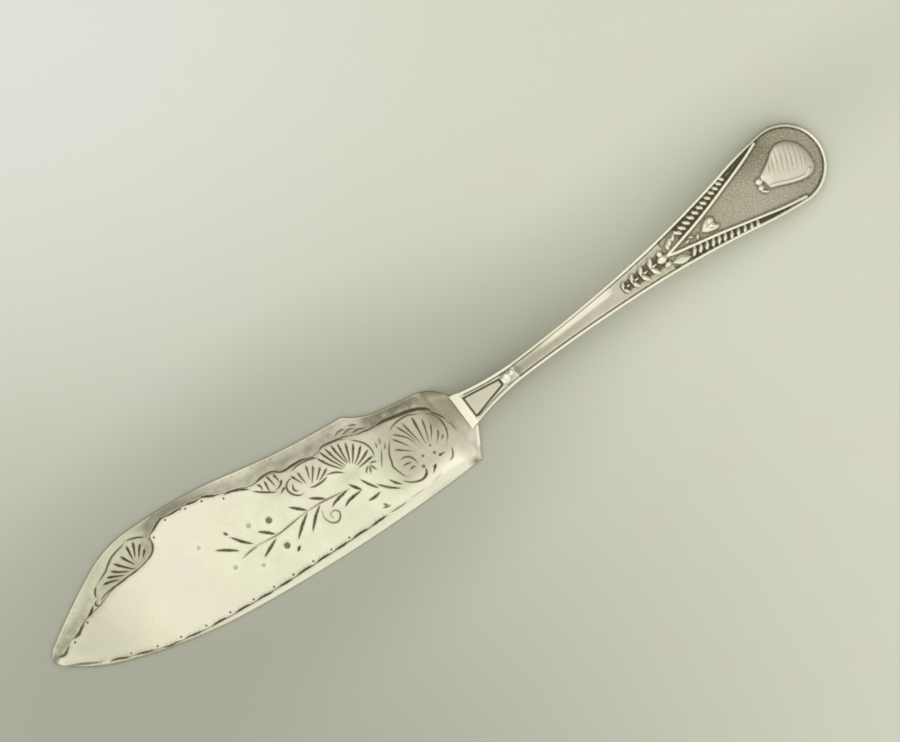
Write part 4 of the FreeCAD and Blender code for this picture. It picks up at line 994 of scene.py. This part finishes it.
def silverMaterial():
    material = bpy.data.materials.new("agedSilverPlate")
    material.use_nodes = True
    paint = Paint(material.node_tree)
    place = paint.link("ShaderNodeTexCoord", "Object")
    tarnish = paint.link("ShaderNodeAttribute", "Fac", {"attribute_name": "tarnish"})
    polish = paint.link("ShaderNodeAttribute", "Fac", {"attribute_name": "polish"})
    cavity = paint.link("ShaderNodeAttribute", "Fac", {"attribute_name": "cavity"})
    clouds = paint.link("ShaderNodeTexNoise", "Fac", None, {
        "Vector": place, "Scale": silver["cloudScale"], "Detail": 4.0, "Roughness": 0.6})
    grain = paint.link("ShaderNodeTexNoise", "Fac", None, {
        "Vector": place, "Scale": silver["grainScale"], "Detail": 2.0})
    streaks = paint.link("ShaderNodeMapping", "Vector", None, {
        "Vector": place, "Scale": silver["scratchSize"], "Rotation": (0.0, 0.0, silver["scratchTurn"])})
    scratches = paint.link("ShaderNodeTexNoise", "Fac", None, {
        "Vector": streaks, "Scale": 1.0, "Detail": 3.0})
    wear = (clouds - 0.5) * silver["clouds"] + (grain - 0.5) * silver["grain"]
    film = (tarnish + (wear + cavity * silver["cavity"]) * (1 - polish)).clamped()
    ramp = paint.node("ShaderNodeValToRGB", {"stops": silver["stops"]}, {"Fac": film})
    patches = paint.link("ShaderNodeTexNoise", "Fac", None, {
        "Vector": place, "Scale": silver["patchScale"], "Detail": 3.0})
    rosy = ((patches - silver["rosyFrom"]) * silver["rosySteep"]).clamped()
    rosy = (rosy * (1 - film) * silver["rosyShare"]).clamped()
    colour = paint.mix(rosy, Link(paint, ramp.outputs["Color"]), silver["rosy"])
    colour = paint.mix((polish * silver["polishedShare"]).clamped(), colour, silver["polished"])
    rough = film * silver["filmRoughness"] + silver["roughness"] - polish * silver["polishSmooths"]
    bump = paint.node("ShaderNodeBump", None, {
        "Strength": silver["bumpStrength"], "Distance": silver["bumpHeight"],
        "Height": scratches * 0.5 + grain * 0.5})
    shader = paint.node("ShaderNodeBsdfPrincipled", None, {
        "Base Color": colour, "Metallic": 1.0, "Roughness": rough,
        "Normal": Link(paint, bump.outputs["Normal"])})
    paint.node("ShaderNodeOutputMaterial", None, {"Surface": Link(paint, shader.outputs["BSDF"])})
    return material


# Painted light and shade on the cloth, each an ellipse: middle, half lengths, where it starts to fade
# and where it ends, as shares of them, the colour in it and how much of that shows. The first is painted
# shade over the lower left of the view, the second painted light over its upper left, and the last two
# are painted shadows around the blade and the handle.
floorLook = {
    "size": 3.0, "colour": (0.745, 0.765, 0.625, 1), "rosy": (0.765, 0.745, 0.645, 1), "mottleScale": 55.0,
    "rosyFrom": 0.42, "rosySteep": 3.0, "roughness": 0.85, "shine": 0.1,
    "patches": [
        ((-0.11, -0.06), (0.12, 0.12), (0.1, 1.6), (0.42, 0.43, 0.345, 1), 0.95),
        ((-0.02, 0.12), (0.075, 0.075), (0.1, 1.6), (0.84, 0.875, 0.81, 1), 0.75),
        ((-0.047, -0.002), (0.067, 0.027), (0.6, 1.6), (0.42, 0.43, 0.345, 1), 0.62),
        ((0.05, 0.0), (0.07, 0.012), (0.3, 1.8), (0.42, 0.43, 0.345, 1), 0.3),
    ],
}


def makeFloor():
    mesh = bpy.data.meshes.new("floor_cloth")
    half = floorLook["size"] / 2
    corners = [(-half, -half, 0), (half, -half, 0), (half, half, 0), (-half, half, 0)]
    mesh.from_pydata(corners, [], [(0, 1, 2, 3)])
    floor = bpy.data.objects.new("floor_cloth", mesh)
    bpy.context.scene.collection.objects.link(floor)
    material = bpy.data.materials.new("paleCloth")
    material.use_nodes = True
    paint = Paint(material.node_tree)
    place = paint.link("ShaderNodeTexCoord", "Object")
    mottle = paint.link("ShaderNodeTexNoise", "Fac", None, {
        "Vector": place, "Scale": floorLook["mottleScale"], "Detail": 5.0, "Roughness": 0.65})
    rosy = ((mottle - floorLook["rosyFrom"]) * floorLook["rosySteep"]).clamped()
    colour = paint.mix(rosy, floorLook["colour"], floorLook["rosy"])
    # each patch mixes painted shade or painted light into the cloth's colour
    for (px, py), (long, short), (fadeFrom, fadeTo), tone, depth in floorLook["patches"]:
        paintedPatchPlace = paint.link("ShaderNodeMapping", "Vector", None, {
            "Vector": place, "Scale": (1 / long, 1 / short, 1), "Location": (-px / long, -py / short, 0)})
        paintedPatchReach = paint.link("ShaderNodeVectorMath", "Value", {"operation": "LENGTH"}, {0: paintedPatchPlace})
        share = paint.link("ShaderNodeMapRange", "Result", {"interpolation_type": "SMOOTHSTEP"}, {
            "Value": paintedPatchReach, "From Min": fadeFrom, "From Max": fadeTo, "To Min": depth, "To Max": 0.0})
        colour = paint.mix(share, colour, tone)
    shader = paint.node("ShaderNodeBsdfPrincipled", None, {
        "Base Color": colour, "Roughness": floorLook["roughness"], "Specular IOR Level": floorLook["shine"]})
    paint.node("ShaderNodeOutputMaterial", None, {"Surface": Link(paint, shader.outputs["BSDF"])})
    floor.data.materials.append(material)
    return floor


# The photograph is taken from straight above with a long lens. Its middle and width are in the drawing's
# millimetres, height is above a plane a little over the table, and turn is the handle's slope in it.
camera = {"height": 1.0, "plane": 0.003, "middle": (1.75, 8.15), "width": 184.4, "turn": 37.3, "sensor": 36.0}


def makeCamera():
    data = bpy.data.cameras.new("camera_above")
    data.sensor_width = camera["sensor"]
    data.lens = camera["sensor"] * camera["height"] / (camera["width"] * drawing["unit"])
    data.clip_end = 10
    eye = bpy.data.objects.new("camera_above", data)
    eyeX, eyeY = [middle * drawing["unit"] for middle in camera["middle"]]
    eye.location = (shiftX + eyeX, shiftY + eyeY, camera["height"] + camera["plane"])
    eye.rotation_euler = (0, 0, -math.radians(camera["turn"]))
    bpy.context.scene.collection.objects.link(eye)
    bpy.context.scene.camera = eye


# The sky over the table: how bright it is and where it is brightest, and a band low on the blade's side.
studio = {
    "towards": (-0.05, -0.60, 0.80), "dim": 0.36, "bright": 1.0, "from": -0.05, "to": 0.92,
    "side": (-0.98, -0.12, 0.16), "sideBright": 0.75, "sideFrom": 0.8, "sideTo": 0.98,
    "colour": (1.0, 0.995, 0.98, 1), "lampPlace": (0.1, 0.6, 1.3), "lampSize": 1.6, "lampPower": 3.0,
}


def makeLight():
    world = bpy.data.worlds.new("softStudio")
    bpy.context.scene.world = world
    world.use_nodes = True
    paint = Paint(world.node_tree)
    direction = paint.link("ShaderNodeTexCoord", "Generated")
    level = 0.0
    for aim, low, high, dim, bright in (("towards", "from", "to", studio["dim"], studio["bright"]),
                                        ("side", "sideFrom", "sideTo", 0.0, studio["sideBright"])):
        aimed = Vector(studio[aim]).normalized()
        near = paint.link("ShaderNodeVectorMath", "Value", {"operation": "DOT_PRODUCT"}, {
            0: direction, 1: aimed})
        glow = paint.link("ShaderNodeMapRange", "Result", {"interpolation_type": "SMOOTHSTEP"}, {
            "Value": near, "From Min": studio[low], "From Max": studio[high],
            "To Min": dim, "To Max": bright})
        level = glow + level
    shader = paint.node("ShaderNodeBackground", None, {"Color": studio["colour"], "Strength": level})
    paint.node("ShaderNodeOutputWorld", None, {"Surface": Link(paint, shader.outputs["Background"])})
    data = bpy.data.lights.new("soft_lamp", "AREA")
    data.size, data.energy = studio["lampSize"], studio["lampPower"]
    lamp = bpy.data.objects.new("soft_lamp", data)
    lamp.location = studio["lampPlace"]
    lamp.rotation_euler = (-Vector(studio["lampPlace"])).to_track_quat("-Z", "Y").to_euler()
    bpy.context.scene.collection.objects.link(lamp)


makeCamera()
makeLight()
makeFloor()
print("camera, light and floor made")
knife = makeKnife()
knife.data.materials.append(silverMaterial())
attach(knife, "root")
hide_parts("butter_knife")
print("knife made,", len(knife.data.polygons), "faces")

bpy.context.scene.view_settings.view_transform = "Standard"
bpy.context.view_layer.update()
